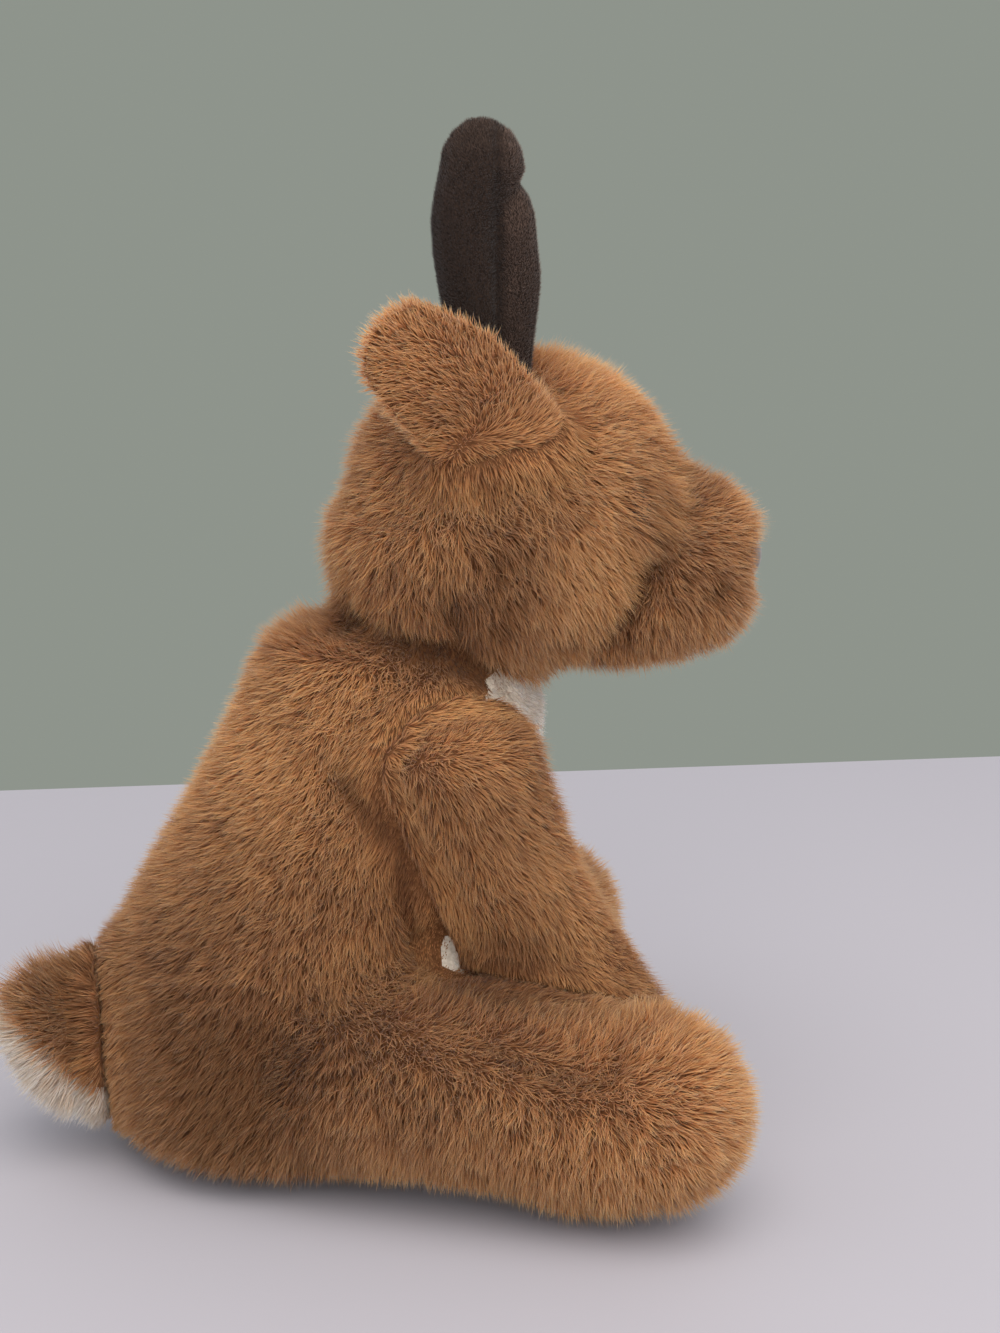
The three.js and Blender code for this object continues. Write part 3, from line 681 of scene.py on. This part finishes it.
# The stuffed body, head, muzzle and rear legs are sewn into one surface
torso = {
    "voxel": 0.003,
    "smoothTimes": 8,
    "fill": 0.85,
    "regions": {"body": "body_skin", "belly": "belly_panel", "head": "head_skin", "muzzle": "muzzle_skin",
                **{leg: f"{leg}_skin" for leg in both("rear_leg")}},
    "inside": ["body_stuffing", "seat_pellet_bag", "head_stuffing", "muzzle_stuffing", *both("rear_leg_stuffing")],
    "limbs": [*both("front_leg_skin"), *both("ear_back"), *both("ear_lining"), "tail_top", "tail_underside"],
    "sinks": {  # how far the cloth lies below the mean height of the fur
        "body": 0.0052, "belly": 0.0028, "head": 0.0052, "muzzle": 0.0060,
        "right_rear_leg": 0.0060, "left_rear_leg": 0.0060,
    },
    "sinkBlend": 0.0015,  # how softly those depths run into each other
    "muzzleStep": (0.0024, 0.0010),  # beside the face's seam the muzzle lies deeper and the cheek higher
    "fittingSink": 0.0052,  # as deep as the lips of the eyes and the nose
    "overWasher": 0.0012,
    "reaches": {  # metres where each change starts and ends
        "sewn": (0.0006, 0.009), "faceSeam": (0.0010, 0.0080), "neckSeam": (0.0010, 0.0060),
        "muzzleSide": (-0.001, 0.001), "onSide": (0.010, 0.024), "atFitting": (0.003, 0.012),
        "noseTip": (0.0, 0.008), "eyeLash": (0.002, 0.009), "byAntler": (0.001, 0.007),
        "floor": (0.0, 0.010), "fittingHole": (0.0002, 0.0010), "antlerHole": (0.0, 0.001),
        "underCover": (0.0010, 0.0030), "underPile": (0.0010, 0.0036),
    },
    "ahead": 0.004,  # how far off a limb still covers the fur
    "under": 0.5,  # share of the fur that grows where a limb rests on it
    "leastPile": {"underPile": 0.35, "sewn": 0.50, "noseTip": 0.34, "byAntler": 0.55, "floor": 0.55},
    "combed": {"head": 1.2, "body": 1.2, "muzzle": 1.0},  # how much flatter than plain the fur lies
    "flatLash": 0.9,
    "neck": (0.40, 0.28),  # shorter and darker at its seam; the darkening is painted shade in the neck's crease
    "tone": 0.45,
    "clump": 0.50,
    "change": {  # of each region: pile times, tone and clump more; what shares add to the first two
        "body": (1.0, 0.0, -0.10, {}),
        "belly": (0.40, 0.35, 0.0, {}),
        # The darker tone beside the eyes is painted shade in their recesses
        "head": (1.0, 0.02, 0.15, {"faceSeam": (0.20, 0), "eyeLash": (0.75, -0.24), "neckSeam": (-0.20, 0)}),
        # The muzzle's darker tone beside the face's seam is painted shade under the cheek's edge
        "muzzle": (0.96, -0.04, 0.15, {"faceSeam": (-0.20, -0.16)}),
        "rear_leg": (1.0, 0.0, 0.15, {}),
    },
}

clumpRange = (0.05, 1.3)
anyCorner = 0.01  # a share that one corner of a face passes
leastFree = 0.05  # share of its depth that the cloth is sunk by at the seams of the limbs
flatAtSeams = 1.5  # how much more the fur lies flat over them


def laidAtSeam(free):
    return 1 + flatAtSeams * (1 - free)


# Places where the pile is tufted, longer or shorter, or darker or lighter: the darkening and lightening is mostly
# painted shade and painted light, with some of the fur's own tone.
# Columns: pixel, millimetres out, reach in millimetres, tone, clump, pile
furSpots = [
    (500, 565, 44, 9, -0.3, 0.5, -0.08), (490, 638, 44, 16, -0.48, 0.6, -0.05), (452, 690, 36, 9, 0.32, 0, 0),
    (410, 672, 40, 8, 0.26, 0, 0), (486, 700, 38, 7, 0.2, 0, 0), (635, 470, 40, 9, 0.2, 0.2, 0.12),
    (600, 560, 44, 16, 0.28, 0.2, 0.05), (720, 570, 24, 12, -0.08, 0.1, 0), (768, 508, 6, 7, 0.15, 0.2, 1.1),
    (755, 598, 8, 7, 0, 0.2, 0.25), (540, 650, 36, 10, 0, 0.2, 0.05), (150, 930, 42, 14, -0.12, 0.5, 0),
    (200, 860, 44, 10, -0.05, 0.5, 0), (220, 1095, 50, 32, -0.55, 1.1, 0), (340, 695, 40, 24, 0.42, 0, 0),
    (270, 1060, 56, 18, -0.25, 0.5, 0), (420, 1110, 66, 14, -0.16, 0.4, 0), (470, 1010, 62, 20, 0.16, 0.1, 0),
    (560, 1110, 84, 11, -0.26, 0.3, 0), (600, 1070, 84, 8, -0.22, 0.4, 0), (690, 1105, 80, 26, 0.42, 0.3, 0.05),
    (590, 1020, 66, 22, 0.16, 0.4, 0), (290, 880, 50, 30, -0.17, 0.2, 0), (410, 860, 50, 10, -0.15, 0.2, 0),
    (425, 930, 50, 12, -0.15, 0.2, 0), (515, 955, 42, 14, -0.4, 0, 0), (452, 954, 40, 9, 0, 0, -0.55),
    (490, 480, 46, 6, -0.45, 0.2, 0), (440, 640, 44, 5, -0.4, 0.2, 0), (60, 1000, 18, 16, -0.35, 0.4, 0.1),
    (560, 340, 16, 12, 0.05, 0.2, 0.05), (630, 500, 40, 5, 0, 0, 0.35), (655, 512, 34, 5, -0.38, 0.2, -0.25),
    (480, 895, 42, 5, 0.3, 0.2, 0.15), (522, 458, 46, 8, 0.25, 0.1, 0.1), (480, 735, 46, 12, 0.3, -0.3, -0.2),
    (432, 748, 44, 8, 0.25, -0.6, -0.35), (720, 505, 20, 10, 0.22, 0.1, 0), (700, 578, 26, 13, -0.22, 0.1, 0),
    (666, 545, 36, 6, -0.3, 0.1, 0), (737, 548, 14, 5, 0, 0, -0.3), (400, 335, 56, 22, 0.32, -0.2, 0),
    (600, 372, 20, 24, 0.32, 0, 0), (512, 395, 46, 6, 0.25, -0.3, -0.2), (487, 345, 50, 7, 0.2, -0.3, -0.15),
    (436, 362, 54, 5, -0.3, 0.3, -0.1), (460, 384, 52, 5, -0.3, 0.3, -0.1), (484, 408, 50, 5, -0.25, 0.3, -0.1),
    (575, 850, 36, 14, 0.18, -0.3, -0.15), (600, 930, 34, 14, 0.1, -0.3, -0.1), (215, 760, 24, 26, 0.42, 0, 0),
    (365, 500, 30, 18, 0.3, 0, 0), (660, 1035, 78, 16, 0.14, 0.1, 0), (540, 520, 46, 12, -0.2, 0.2, 0),
    (490, 790, 46, 18, -0.14, 0, 0), (665, 420, 20, 15, 0.05, 0, -0.3), (730, 478, 8, 9, 0, 0, -0.2),
    (308, 602, 6, 8, 0, 0, 1.3), (605, 885, -30, 14, 0, 0, -0.5), (520, 720, 44, 12, 0.15, -0.3, -0.1),
    (500, 702, 42, 8, 0, 0, -0.3), (580, 1225, 84, 10, 0, 0, 0.2), (560, 345, 12, 8, 0.05, 0, 0.15),
]


# The spots' tone is mostly painted light and painted shade, with some of the fur's own tone
def spotFields(points):
    fields = np.zeros((3, len(points)))
    for x, y, out, reach, tone, clump, pile in furSpots:
        place = np.array(seenPoint(x, y, out))
        for side in (1, -1):
            gap = np.linalg.norm(points * (side, 1, 1) - place, axis=1) / (reach / 1000)
            fields += np.exp(-gap ** 2)[None] * np.array([tone, clump, pile])[:, None]
    return fields


# Creases seen in the cloth: a line of pixels with millimetres out, half width, depth, tone (darkened as painted shade
# in the crease) and pile off
creases = [
    ([(318, 598, 20), (350, 622, 34), (400, 642, 40), (446, 652, 42), (480, 672, 42), (512, 690, 40)],
     3, 3.6, 0.6, 0.3),
    ([(335, 772, 48), (372, 812, 50), (404, 846, 50), (412, 900, 50), (424, 945, 50)], 3.6, 2.4, 0.4, 0.2),
    ([(440, 606, 44), (446, 628, 44), (458, 650, 43)], 2.5, 1.5, 0.35, 0.2),
    ([(560, 652, 38), (600, 652, 38), (636, 656, 34)], 2.5, 1, 0.3, 0.2),
    ([(655, 530, 35), (653, 555, 36), (649, 588, 36), (636, 615, 38), (618, 632, 38)], 3, 2, 0.38, 0.25),
    ([(716, 596, 20), (731, 589, 16)], 2.2, 1.5, 0.45, 0.5),
    ([(486, 1048, 66), (530, 1064, 72), (568, 1074, 78)], 2.6, 1.8, 0.4, 0.2),
    ([(590, 1085, 82), (604, 1068, 82)], 2.2, 1.4, 0.35, 0.2),
    ([(440, 945, 42), (446, 958, 38)], 6, 6, 0, 0.55),
    ([(432, 972, 60), (500, 990, 58), (580, 994, 62), (650, 992, 66)], 3.5, 1, 0.3, 0.1),
]


# The point of a surface that is seen at a pixel, or else the one so far out
def seenPlace(tree, x, y, out):
    place = seenPoint(x, y, out)
    hit = tree.ray_cast(cameraObject.location, (place - cameraObject.location).normalized())[0]
    return np.array(place if hit is None else hit)


# Along each crease: depth, a darker tone that is painted shade, and shorter pile
def creaseFields(points, tree):
    fields = np.zeros((3, len(points)))
    for line, width, depth, tone, pile in creases:
        knots = [seenPlace(tree, *knot) for knot in line]
        for side in (1, -1):
            own = points * (side, 1, 1)
            gap = np.full(len(points), 1.0)
            for start, end in zip(knots, knots[1:]):
                way = end - start
                share = np.clip((own - start) @ way / (way @ way), 0, 1)
                gap = np.minimum(gap, np.linalg.norm(own - start - share[:, None] * way, axis=1))
            near = np.exp(-(gap / (width / 1000)) ** 2)
            fields += near[None] * np.array([depth / 1000, tone, pile])[:, None]
    return fields


# How far each change holds over the torso's surface, from 0 to 1
def torsoShares(t, outer, normals, gaps):
    limbTree = nodeTree(t["limbs"])
    nose = distancesTo(nodeTree(["nose"]), outer)
    eyes = distancesTo(nodeTree(both("eye")), outer)
    antlers = distancesTo(nodeTree(both("antler")), outer)
    covered = gapsAhead(limbTree, outer, normals, t["ahead"])
    measures = {
        "sewn": distancesTo(limbTree, outer), "muzzleSide": gaps["head"] - gaps["muzzle"],
        "faceSeam": np.maximum(gaps["head"], gaps["muzzle"]), "neckSeam": np.maximum(gaps["head"], gaps["body"]),
        "onSide": np.abs(outer[:, 0]), "atFitting": np.minimum(nose, eyes), "noseTip": nose, "eyeLash": eyes,
        "byAntler": antlers, "fittingHole": np.minimum(nose, eyes), "antlerHole": antlers,
        "underCover": covered, "underPile": covered,
    }
    shares = {name: smoothStep(*t["reaches"][name], measure) for name, measure in measures.items()}
    for name in ("faceSeam", "neckSeam", "atFitting", "eyeLash"):  # these hold close by
        shares[name] = 1 - shares[name]
    shares["faceSeam"] *= shares["onSide"]
    shares["free"] = atLeast(leastFree, shares["sewn"])
    return shares


def torsoSink(t, outer, gaps, shares, creaseDepth):
    names = list(t["regions"])
    weights = np.array([1 / (gaps[name] + t["sinkBlend"]) ** 2 for name in names])
    sink = (weights * np.array([t["sinks"][name] for name in names])[:, None]).sum(0) / weights.sum(0)
    muzzle, cheek = t["muzzleStep"]
    sink += shares["faceSeam"] * (muzzle * shares["muzzleSide"] - cheek)
    sink += shares["atFitting"] * (t["fittingSink"] - sink)
    sink = sink * shares["free"] + creaseDepth * (1 - shares["atFitting"])
    washers = distancesTo(nodeTree([*both("eye_washer"), "nose_washer"]), outer)
    return np.minimum(sink, np.maximum(washers - t["overWasher"], 0))  # the cloth covers the washers


def makeTorso(t):
    nodes = [*t["regions"].values(), *t["inside"]]
    form = blendedForm("torso_backing", nodes, t["voxel"], t["smoothTimes"])
    outer, normals = readPoints(form.data)
    names = list(t["regions"])
    gaps = {name: distancesTo(nodeTree([t["regions"][name]]), outer) for name in names}
    shares = torsoShares(t, outer, normals, gaps)
    creaseDepth, creasePaintedShade, creasePile = creaseFields(outer, nodeTree(nodes))
    sink = torsoSink(t, outer, gaps, shares, creaseDepth)
    writePoints(form.data, outer - normals * sink[:, None])
    points, normals = readPoints(form.data)

    spotPaintedLightAndTone, spotClump, spotPile = spotFields(points)
    neckPile, neckPaintedShade = t["neck"]
    least = t["leastPile"]
    pile = (1 + spotPile - creasePile - neckPile * shares["neckSeam"]) * atLeast(least["sewn"], shares["free"])
    pile *= atLeast(least["floor"], smoothStep(*t["reaches"]["floor"], points[:, 2]))
    for name in ("byAntler", "underPile"):
        pile *= atLeast(least[name], shares[name])
    # Painted light and shade: the spots lighten or darken the fur where light falls or shade lies, and the creases
    # and the neck's seam are darkened as painted shade
    tone = t["tone"] + spotPaintedLightAndTone - creasePaintedShade - neckPaintedShade * shares["neckSeam"]
    cover = shares["fittingHole"] * shares["antlerHole"] * atLeast(t["under"], shares["underCover"])
    flat = laidAtSeam(shares["free"]) * (1 + t["flatLash"] * shares["eyeLash"])
    region = np.array([gaps[name] for name in names]).argmin(0)
    brownRegion = np.array([gaps[name] + (name == "belly") for name in names]).argmin(0)
    bellyLead = np.min([gaps[name] for name in names if name != "belly"], axis=0) - gaps["belly"]
    belly = names.index("belly")
    wholeBelly = facesOf(form, region, belly, 1.0)
    for index, name in enumerate(names):
        kind = "rear_leg" if name.endswith("rear_leg") else name
        pileTimes, toneMore, clumpMore, extra = t["change"][kind]
        for share, (pileStep, toneStep) in extra.items():
            pileTimes = pileTimes + pileStep * shares[share]
            toneMore = toneMore + toneStep * shares[share]
        if name == "muzzle":
            pileTimes = pileTimes * atLeast(least["noseTip"], shares["noseTip"])
        across = headTurn if name in ("head", "muzzle") else bodyTurn
        nap = napField(points, normals, napGuides[kind], across) * t["combed"].get(name, 1.0) * flat[:, None]
        setFields(form, nap=nap, pile=pile * pileTimes, tone=tone + toneMore, cover=cover,
                  clump=np.clip(t["clump"] + spotClump + clumpMore, *clumpRange),
                  own=bellyLead if index == belly else -bellyLead)
        if index == belly:
            key, faces = "cream", facesOf(form, region, belly, anyCorner)
        else:
            key, faces = "brown", np.setdiff1d(facesOf(form, brownRegion, index), wholeBelly)
        growFur(f"{name}_fur", form, faces, key, "torso", [t["regions"][name]])
    finishCloth(form, ["brown", "cream"], facesOf(form, region, belly), "torso", t["inside"])


print("torso")
makeTorso(torso)


# Pieces that flex: each is its own stuffed form with its fur
frontLeg = {"guides": "front_leg", "across": bodyTurn, "voxel": 0.0025, "sink": 0.0054, "pile": 1.0, "fill": 0.8,
            "combed": 1.2, "clump": 0.5, "tone": 0.44, "creamTone": 0.0, "under": 0.7}
ear = {"guides": "ear", "across": headTurn, "voxel": 0.0016, "sink": 0.0030, "pile": 0.82, "fill": 0.3,
       "combed": 1.6, "clump": 0.3, "tone": 0.50, "creamTone": 0.2, "under": 0.0,
       "rim": 0.010, "turnIn": 0.0036}  # the brown cloth is turned in over the rim
# The tail's cream is darker: partly painted shade on its underside, partly brown tips mixed in
tail = {"guides": "tail", "across": bodyTurn, "voxel": 0.0025, "sink": 0.0062, "pile": 1.15, "fill": 0.6,
        "combed": 1.0, "clump": 1.0, "tone": 0.50, "creamTone": -0.1, "under": 0.6}
limbShape = {
    "smoothTimes": 6,
    "ahead": 0.006,  # how far off a neighbour still covers the fur
    "sewn": (0.0006, 0.0090),
    "floor": (0.0, 0.008),
    "underCover": (0.0015, 0.0045),
    "underPile": (0.0010, 0.0055),
    "leastPile": {"sewn": 0.50, "floor": 0.6, "underPile": 0.35},
    "lining": (0.15, 0.45, 0.0005, 0.0030),  # pile at the rim and how much more inside, where its fur starts
}


def limbOf(kind, inside, **regions):
    return {**kind, "inside": inside, "regions": regions}


limbs = {
    **{f"{side}_front_leg": limbOf(frontLeg, [f"{side}_front_leg_stuffing"], brown=f"{side}_front_leg_skin")
       for side in sides},
    **{f"{side}_ear": limbOf(ear, [], brown=f"{side}_ear_back", cream=f"{side}_ear_lining") for side in sides},
    "tail": limbOf(tail, [], brown="tail_top", cream="tail_underside"),
}


def makeLimb(name, limb, neighbours):
    shape = limbShape
    skins = list(limb["regions"].values())
    form = blendedForm(f"{name}_backing", skins + limb["inside"], limb["voxel"], shape["smoothTimes"])
    outer, normals = readPoints(form.data)
    free = atLeast(leastFree, smoothStep(*shape["sewn"], distancesTo(neighbours, outer)))
    covered = gapsAhead(neighbours, outer, normals, shape["ahead"])
    gaps = np.array([distancesTo(nodeTree([skin]), outer) for skin in skins])
    if "turnIn" in limb:
        gaps[1] += limb["turnIn"]
    region = gaps.argmin(0)
    lead = gaps[1] - gaps[0] if len(gaps) > 1 else np.ones(len(outer))  # of the brown over the cream
    writePoints(form.data, outer - normals * (limb["sink"] * free)[:, None])
    points, normals = readPoints(form.data)

    spotPaintedLightAndTone, spotClump, spotPile = spotFields(points)
    least = shape["leastPile"]
    pile = limb["pile"] * (1 + spotPile) * atLeast(least["sewn"], free)
    pile *= atLeast(least["floor"], smoothStep(*shape["floor"], points[:, 2]))
    pile *= atLeast(least["underPile"], smoothStep(*shape["underPile"], covered))  # short where it rests on the leg
    cover = atLeast(limb["under"], smoothStep(*shape["underCover"], covered))
    if "rim" in limb:  # the lining's pile is short, and shorter still beside the rim
        rimPile, morePile, start, full = shape["lining"]
        inner = smoothStep(0.0, limb["rim"], -lead)
        pile *= np.where(region == 1, rimPile + morePile * inner, 1.0)
        cover *= np.where(region == 1, smoothStep(start, full, -lead), 1.0)
    # The spots add painted light and painted shade here too
    tone = limb["tone"] + spotPaintedLightAndTone + np.where(region == 1, limb["creamTone"], 0)
    flat = limb["combed"] * laidAtSeam(free)
    nap = napField(points, normals, napGuides[limb["guides"]], limb["across"]) * flat[:, None]
    setFields(form, nap=nap, pile=pile, tone=tone, cover=cover, clump=np.clip(limb["clump"] + spotClump, *clumpRange))
    for index, (key, skin) in enumerate(limb["regions"].items()):
        setFields(form, own=-lead if index else lead)
        growFur(f"{name}_{key}_fur", form, facesOf(form, region, index, anyCorner), key, name, [skin])
    finishCloth(form, list(limb["regions"]), facesOf(form, region, 1), name, limb["inside"] or skins)


torsoTree = nodeTree(["body_skin", "belly_panel", *both("rear_leg_skin"), "head_skin"])
for limbName, limb in limbs.items():
    print(limbName)
    makeLimb(limbName, limb, torsoTree)


# Antlers: dark suede over filling, with a seam round the edge and a short nap
antler = {
    "voxel": 0.0011,
    "smoothTimes": 4,
    "fill": 0.8,
    "root": (0.0004, 0.008, 0.0044),  # between these heights it reaches down through the fur to the cloth, so far
    "seam": (0.0018, 0.0007),  # half width and depth
    "levels": (0.1, 0.5, 0.9),  # shares of its height where the seam's middle is found
    "band": 0.05,  # half the height looked at there
    "lobe": (0.0675, 0.0013, 0.0012),  # where the front lobe starts, half width and depth of the line beside it
    "lobeEdge": (0.0006, 0.0030),
    "tone": 0.15,
    "clump": 0.5,
    # The front lobe is lighter as painted light where it catches the light, and the line beside it darker as painted
    # shade
    "toneMore": {"tip": 0.08, "line": -0.15, "lobe": 0.62},
    "above": {"tip": (0.5, 1), "lobe": (0.1, 0.6)},  # shares of its height where those start and are full
    "least": {"lobe": 0.6, "pile": 0.5},
    "sewn": (0, 0.001),  # metres from the head where its pile is short
    "way": (0.0, 0.3, 1.0),  # of the nap
}


def makeAntler(side, a):
    name = f"{side}_antler"
    form = blendedForm(f"{name}_suede", [name], a["voxel"], a["smoothTimes"])
    headTree = nodeTree(["head_skin"])
    points = readPoints(form.data)[0]
    start, end, depth = a["root"]
    points[:, 2] -= depth * (1 - smoothStep(start, end, distancesTo(headTree, points)))
    writePoints(form.data, points)
    points, normals = readPoints(form.data)
    low, high = points[:, 2].min(), points[:, 2].max()
    height = (points[:, 2] - low) / (high - low)

    def middleAt(level):
        xs = points[(height > level - a["band"]) & (height <= level + a["band"]), 0]
        return (xs.min() + xs.max()) / 2

    off = np.abs(points[:, 0] - np.interp(height, a["levels"], [middleAt(level) for level in a["levels"]]))
    seamWidth, seamDepth = a["seam"]
    groove = (1 - smoothStep(0, seamWidth, off)) * (1 - np.abs(normals[:, 0]))
    writePoints(form.data, points - normals * (groove * seamDepth)[:, None])
    ahead, lineWidth, lineDepth = a["lobe"]
    line = np.exp(-((points[:, 1] + ahead) / lineWidth) ** 2) * np.abs(normals[:, 0])
    writePoints(form.data, readPoints(form.data)[0] - normals * (line * lineDepth)[:, None])

    points, normals = readPoints(form.data)
    edgeStart, edgeEnd = a["lobeEdge"]
    onLobe = smoothStep(ahead + edgeStart, ahead + edgeEnd, -points[:, 1])
    more, above, least = a["toneMore"], a["above"], a["least"]
    # Painted light on the front lobe and painted shade along the line beside it
    tone = a["tone"] + more["tip"] * smoothStep(*above["tip"], height) + more["line"] * line
    tone = tone + more["lobe"] * onLobe * atLeast(least["lobe"], smoothStep(*above["lobe"], height))
    pile = atLeast(least["pile"], smoothStep(*a["sewn"], distancesTo(headTree, points)))
    setFields(form, nap=laidFlat(np.tile(a["way"], (len(points), 1)), normals), pile=pile, tone=tone,
              cover=1 - groove, clump=a["clump"], own=1.0)
    growFur(f"{name}_nap", form, np.arange(len(form.data.polygons)), "suede", "torso", [name])
    finishCloth(form, ["suede"], [], "torso", [name])


print("antlers")
for side in sides:
    makeAntler(side, antler)

bpy.data.objects.remove(strandObject)


# Safety eyes and nose: moulded domes with a lip, a shank and a washer behind the cloth
fittings = {
    "eye": {"radius": 0.006, "flat": 1.0, "dome": 0.0045, "lip": 0.0008, "shift": (0, 0, 0), "inset": 0.0014},
    "nose": {"radius": 0.0085, "flat": 12 / 17, "dome": 0.0040, "lip": 0.0010, "shift": (0, 0, 0.0022),
             "inset": 0.0},
    "eyeLength": (0.0135, 0.0012),  # from its dome to the end of its shank, and how near that has to be
    "shank": (0.35, 0.0085),  # share of the radius, and length
    "lipEdge": (0.94, 0.6),  # shares of the radius and of the lip where its rim is rounded
    "segments": 40,
    "rings": 10,
}


def makePlastic(name, low, high, roughness, shine=0.5):
    mat, nodes, links, shader = newMaterial(name)
    noise = addGrain(nodes, links, shader, 600, 3, [(0.3, low), (0.7, high)])
    bump = nodes.new("ShaderNodeBump")
    setInputs(bump, {"Strength": 0.04, "Distance": 0.0002})
    links.new(noise.outputs["Fac"], bump.inputs["Height"])
    links.new(bump.outputs["Normal"], shader.inputs["Normal"])
    setInputs(shader, {"Roughness": roughness, "Specular IOR Level": shine, "Coat Weight": 0.15,
                       "Coat Roughness": 0.05})
    return mat


eyePlastic = makePlastic("eye_black_plastic", (10, 8, 7), (18, 14, 12), 0.12, 0.3)
nosePlastic = makePlastic("nose_brown_plastic", (88, 72, 62), (112, 94, 82), 0.35)
washerPlastic = makePlastic("washer_white_plastic", (226, 226, 220), (238, 238, 234), 0.45)


# An eye faces along the axis on which its solid is as long as an eye is
def eyeFacing(points):
    length, near = fittings["eyeLength"]
    spread = points - points.mean(0)
    ways = np.linalg.eigh(spread.T @ spread)[1]
    spans = np.array([np.ptp(points @ way) for way in ways.T])
    facing = Vector(ways[:, int(np.argmax(np.abs(spans - length) < near))])
    return -facing if facing.y > 0 else facing


def makeFitting(node, kind, material):
    spec = fittings[kind]
    points = np.array([v.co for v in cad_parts[node].data.vertices])
    facing = Vector((0, -1, 0)) if kind == "nose" else eyeFacing(points)
    along = points @ np.array(facing)
    middle = points[along > along.max() - 1e-5].mean(0)
    base = Vector(middle) + Vector(spec["shift"]) - facing * (spec["dome"] + spec["inset"])
    segments, rings = fittings["segments"], fittings["rings"]
    radius, dome, lip = spec["radius"], spec["dome"], spec["lip"]
    shankShare, shankLength = fittings["shank"]
    lipShare, lipRound = fittings["lipEdge"]
    profile = [(radius * shankShare, -shankLength), (radius * shankShare, -lip), (radius * lipShare, -lip),
               (radius, -lip * lipRound), (radius, 0.0)]
    for i in range(1, rings):
        turn = math.pi / 2 * i / rings
        profile.append((radius * math.cos(turn), dome * math.sin(turn)))
    turnTo = facing.to_track_quat("Z", "Y").to_matrix()
    angles = [k * math.tau / segments for k in range(segments)]
    bm = bmesh.new()
    loops = [[bm.verts.new(base + turnTo @ Vector((r * math.cos(angle), r * spec["flat"] * math.sin(angle), height)))
              for angle in angles] for r, height in profile]
    top = bm.verts.new(base + facing * dome)
    low = bm.verts.new(base - facing * shankLength)
    pairs = [(k, (k + 1) % segments) for k in range(segments)]
    for lower, upper in zip(loops, loops[1:]):
        for k, n in pairs:
            bm.faces.new((lower[k], lower[n], upper[n], upper[k]))
    for k, n in pairs:
        bm.faces.new((loops[-1][k], loops[-1][n], top))
        bm.faces.new((loops[0][n], loops[0][k], low))
    bmesh.ops.recalc_face_normals(bm, faces=bm.faces)
    mesh = bpy.data.meshes.new(f"{node}_dome")
    bm.to_mesh(mesh)
    bm.free()
    shadeSmooth(mesh)
    obj = linkMesh(f"{node}_dome", mesh)
    obj.data.materials.append(material)
    declare(obj, "torso", [node])


for side in sides:
    makeFitting(f"{side}_eye", "eye", eyePlastic)
makeFitting("nose", "nose", nosePlastic)
for washer in (*both("eye_washer"), "nose_washer"):
    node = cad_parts[washer]
    node.data.materials.clear()
    node.data.materials.append(washerPlastic)
print("fittings done")


# Table top, light and the wall's colour
stage = {
    "corners": [(-1.2, -1.2), (0.545, -1.2), (0.230, 1.2), (-1.2, 1.2)],
    "table": (0.455, 0.430, 0.462, 1),
    "roughness": 0.7,
    "wall": ((0.272, 0.296, 0.262, 1), 1.0),  # colour and strength, as the camera sees it
    "sky": ((0.92, 0.95, 1.0, 1), 0.74),  # the light that it gives
    "lights": {  # place, target, size, power and colour
        "over": ((-0.62, -0.30, 1.2), (0, -0.05, 0.12), 1.5, 16.0, (1.0, 0.96, 0.91)),
        "camera_side": ((-1.3, -0.1, 0.40), (0, -0.05, 0.12), 1.2, 7.0, (1.0, 0.98, 0.96)),
    },
}


def makeTable(st):
    mesh = bpy.data.meshes.new("table_top")
    mesh.from_pydata([(x, y, 0) for x, y in st["corners"]], [], [(0, 1, 2, 3)])
    table = linkMesh("table_top", mesh)
    mat, nodes, links, shader = newMaterial("table_paint")
    setInputs(shader, {"Base Color": st["table"], "Roughness": st["roughness"]})
    table.data.materials.append(mat)


def addArea(name, place, target, size, power, color):
    data = bpy.data.lights.new(name, "AREA")
    data.size = size
    data.energy = power
    data.color = color
    obj = bpy.data.objects.new(name, data)
    obj.location = place
    obj.rotation_euler = (Vector(target) - Vector(place)).to_track_quat("-Z", "Y").to_euler()
    scene.collection.objects.link(obj)


def makeWorld(st):
    world = bpy.data.worlds.new("studio")
    scene.world = world
    world.use_nodes = True
    nodes, links = world.node_tree.nodes, world.node_tree.links
    nodes.clear()
    out = nodes.new("ShaderNodeOutputWorld")
    rays = nodes.new("ShaderNodeLightPath")
    pick = nodes.new("ShaderNodeMixShader")
    links.new(rays.outputs["Is Camera Ray"], pick.inputs[0])
    for socket, key in enumerate(("sky", "wall"), 1):
        color, strength = st[key]
        background = nodes.new("ShaderNodeBackground")
        setInputs(background, {"Color": color, "Strength": strength})
        links.new(background.outputs[0], pick.inputs[socket])
    links.new(pick.outputs[0], out.inputs["Surface"])


makeTable(stage)
for lightName, light in stage["lights"].items():
    addArea(lightName, *light)
makeWorld(stage)
scene.view_settings.view_transform = "Standard"
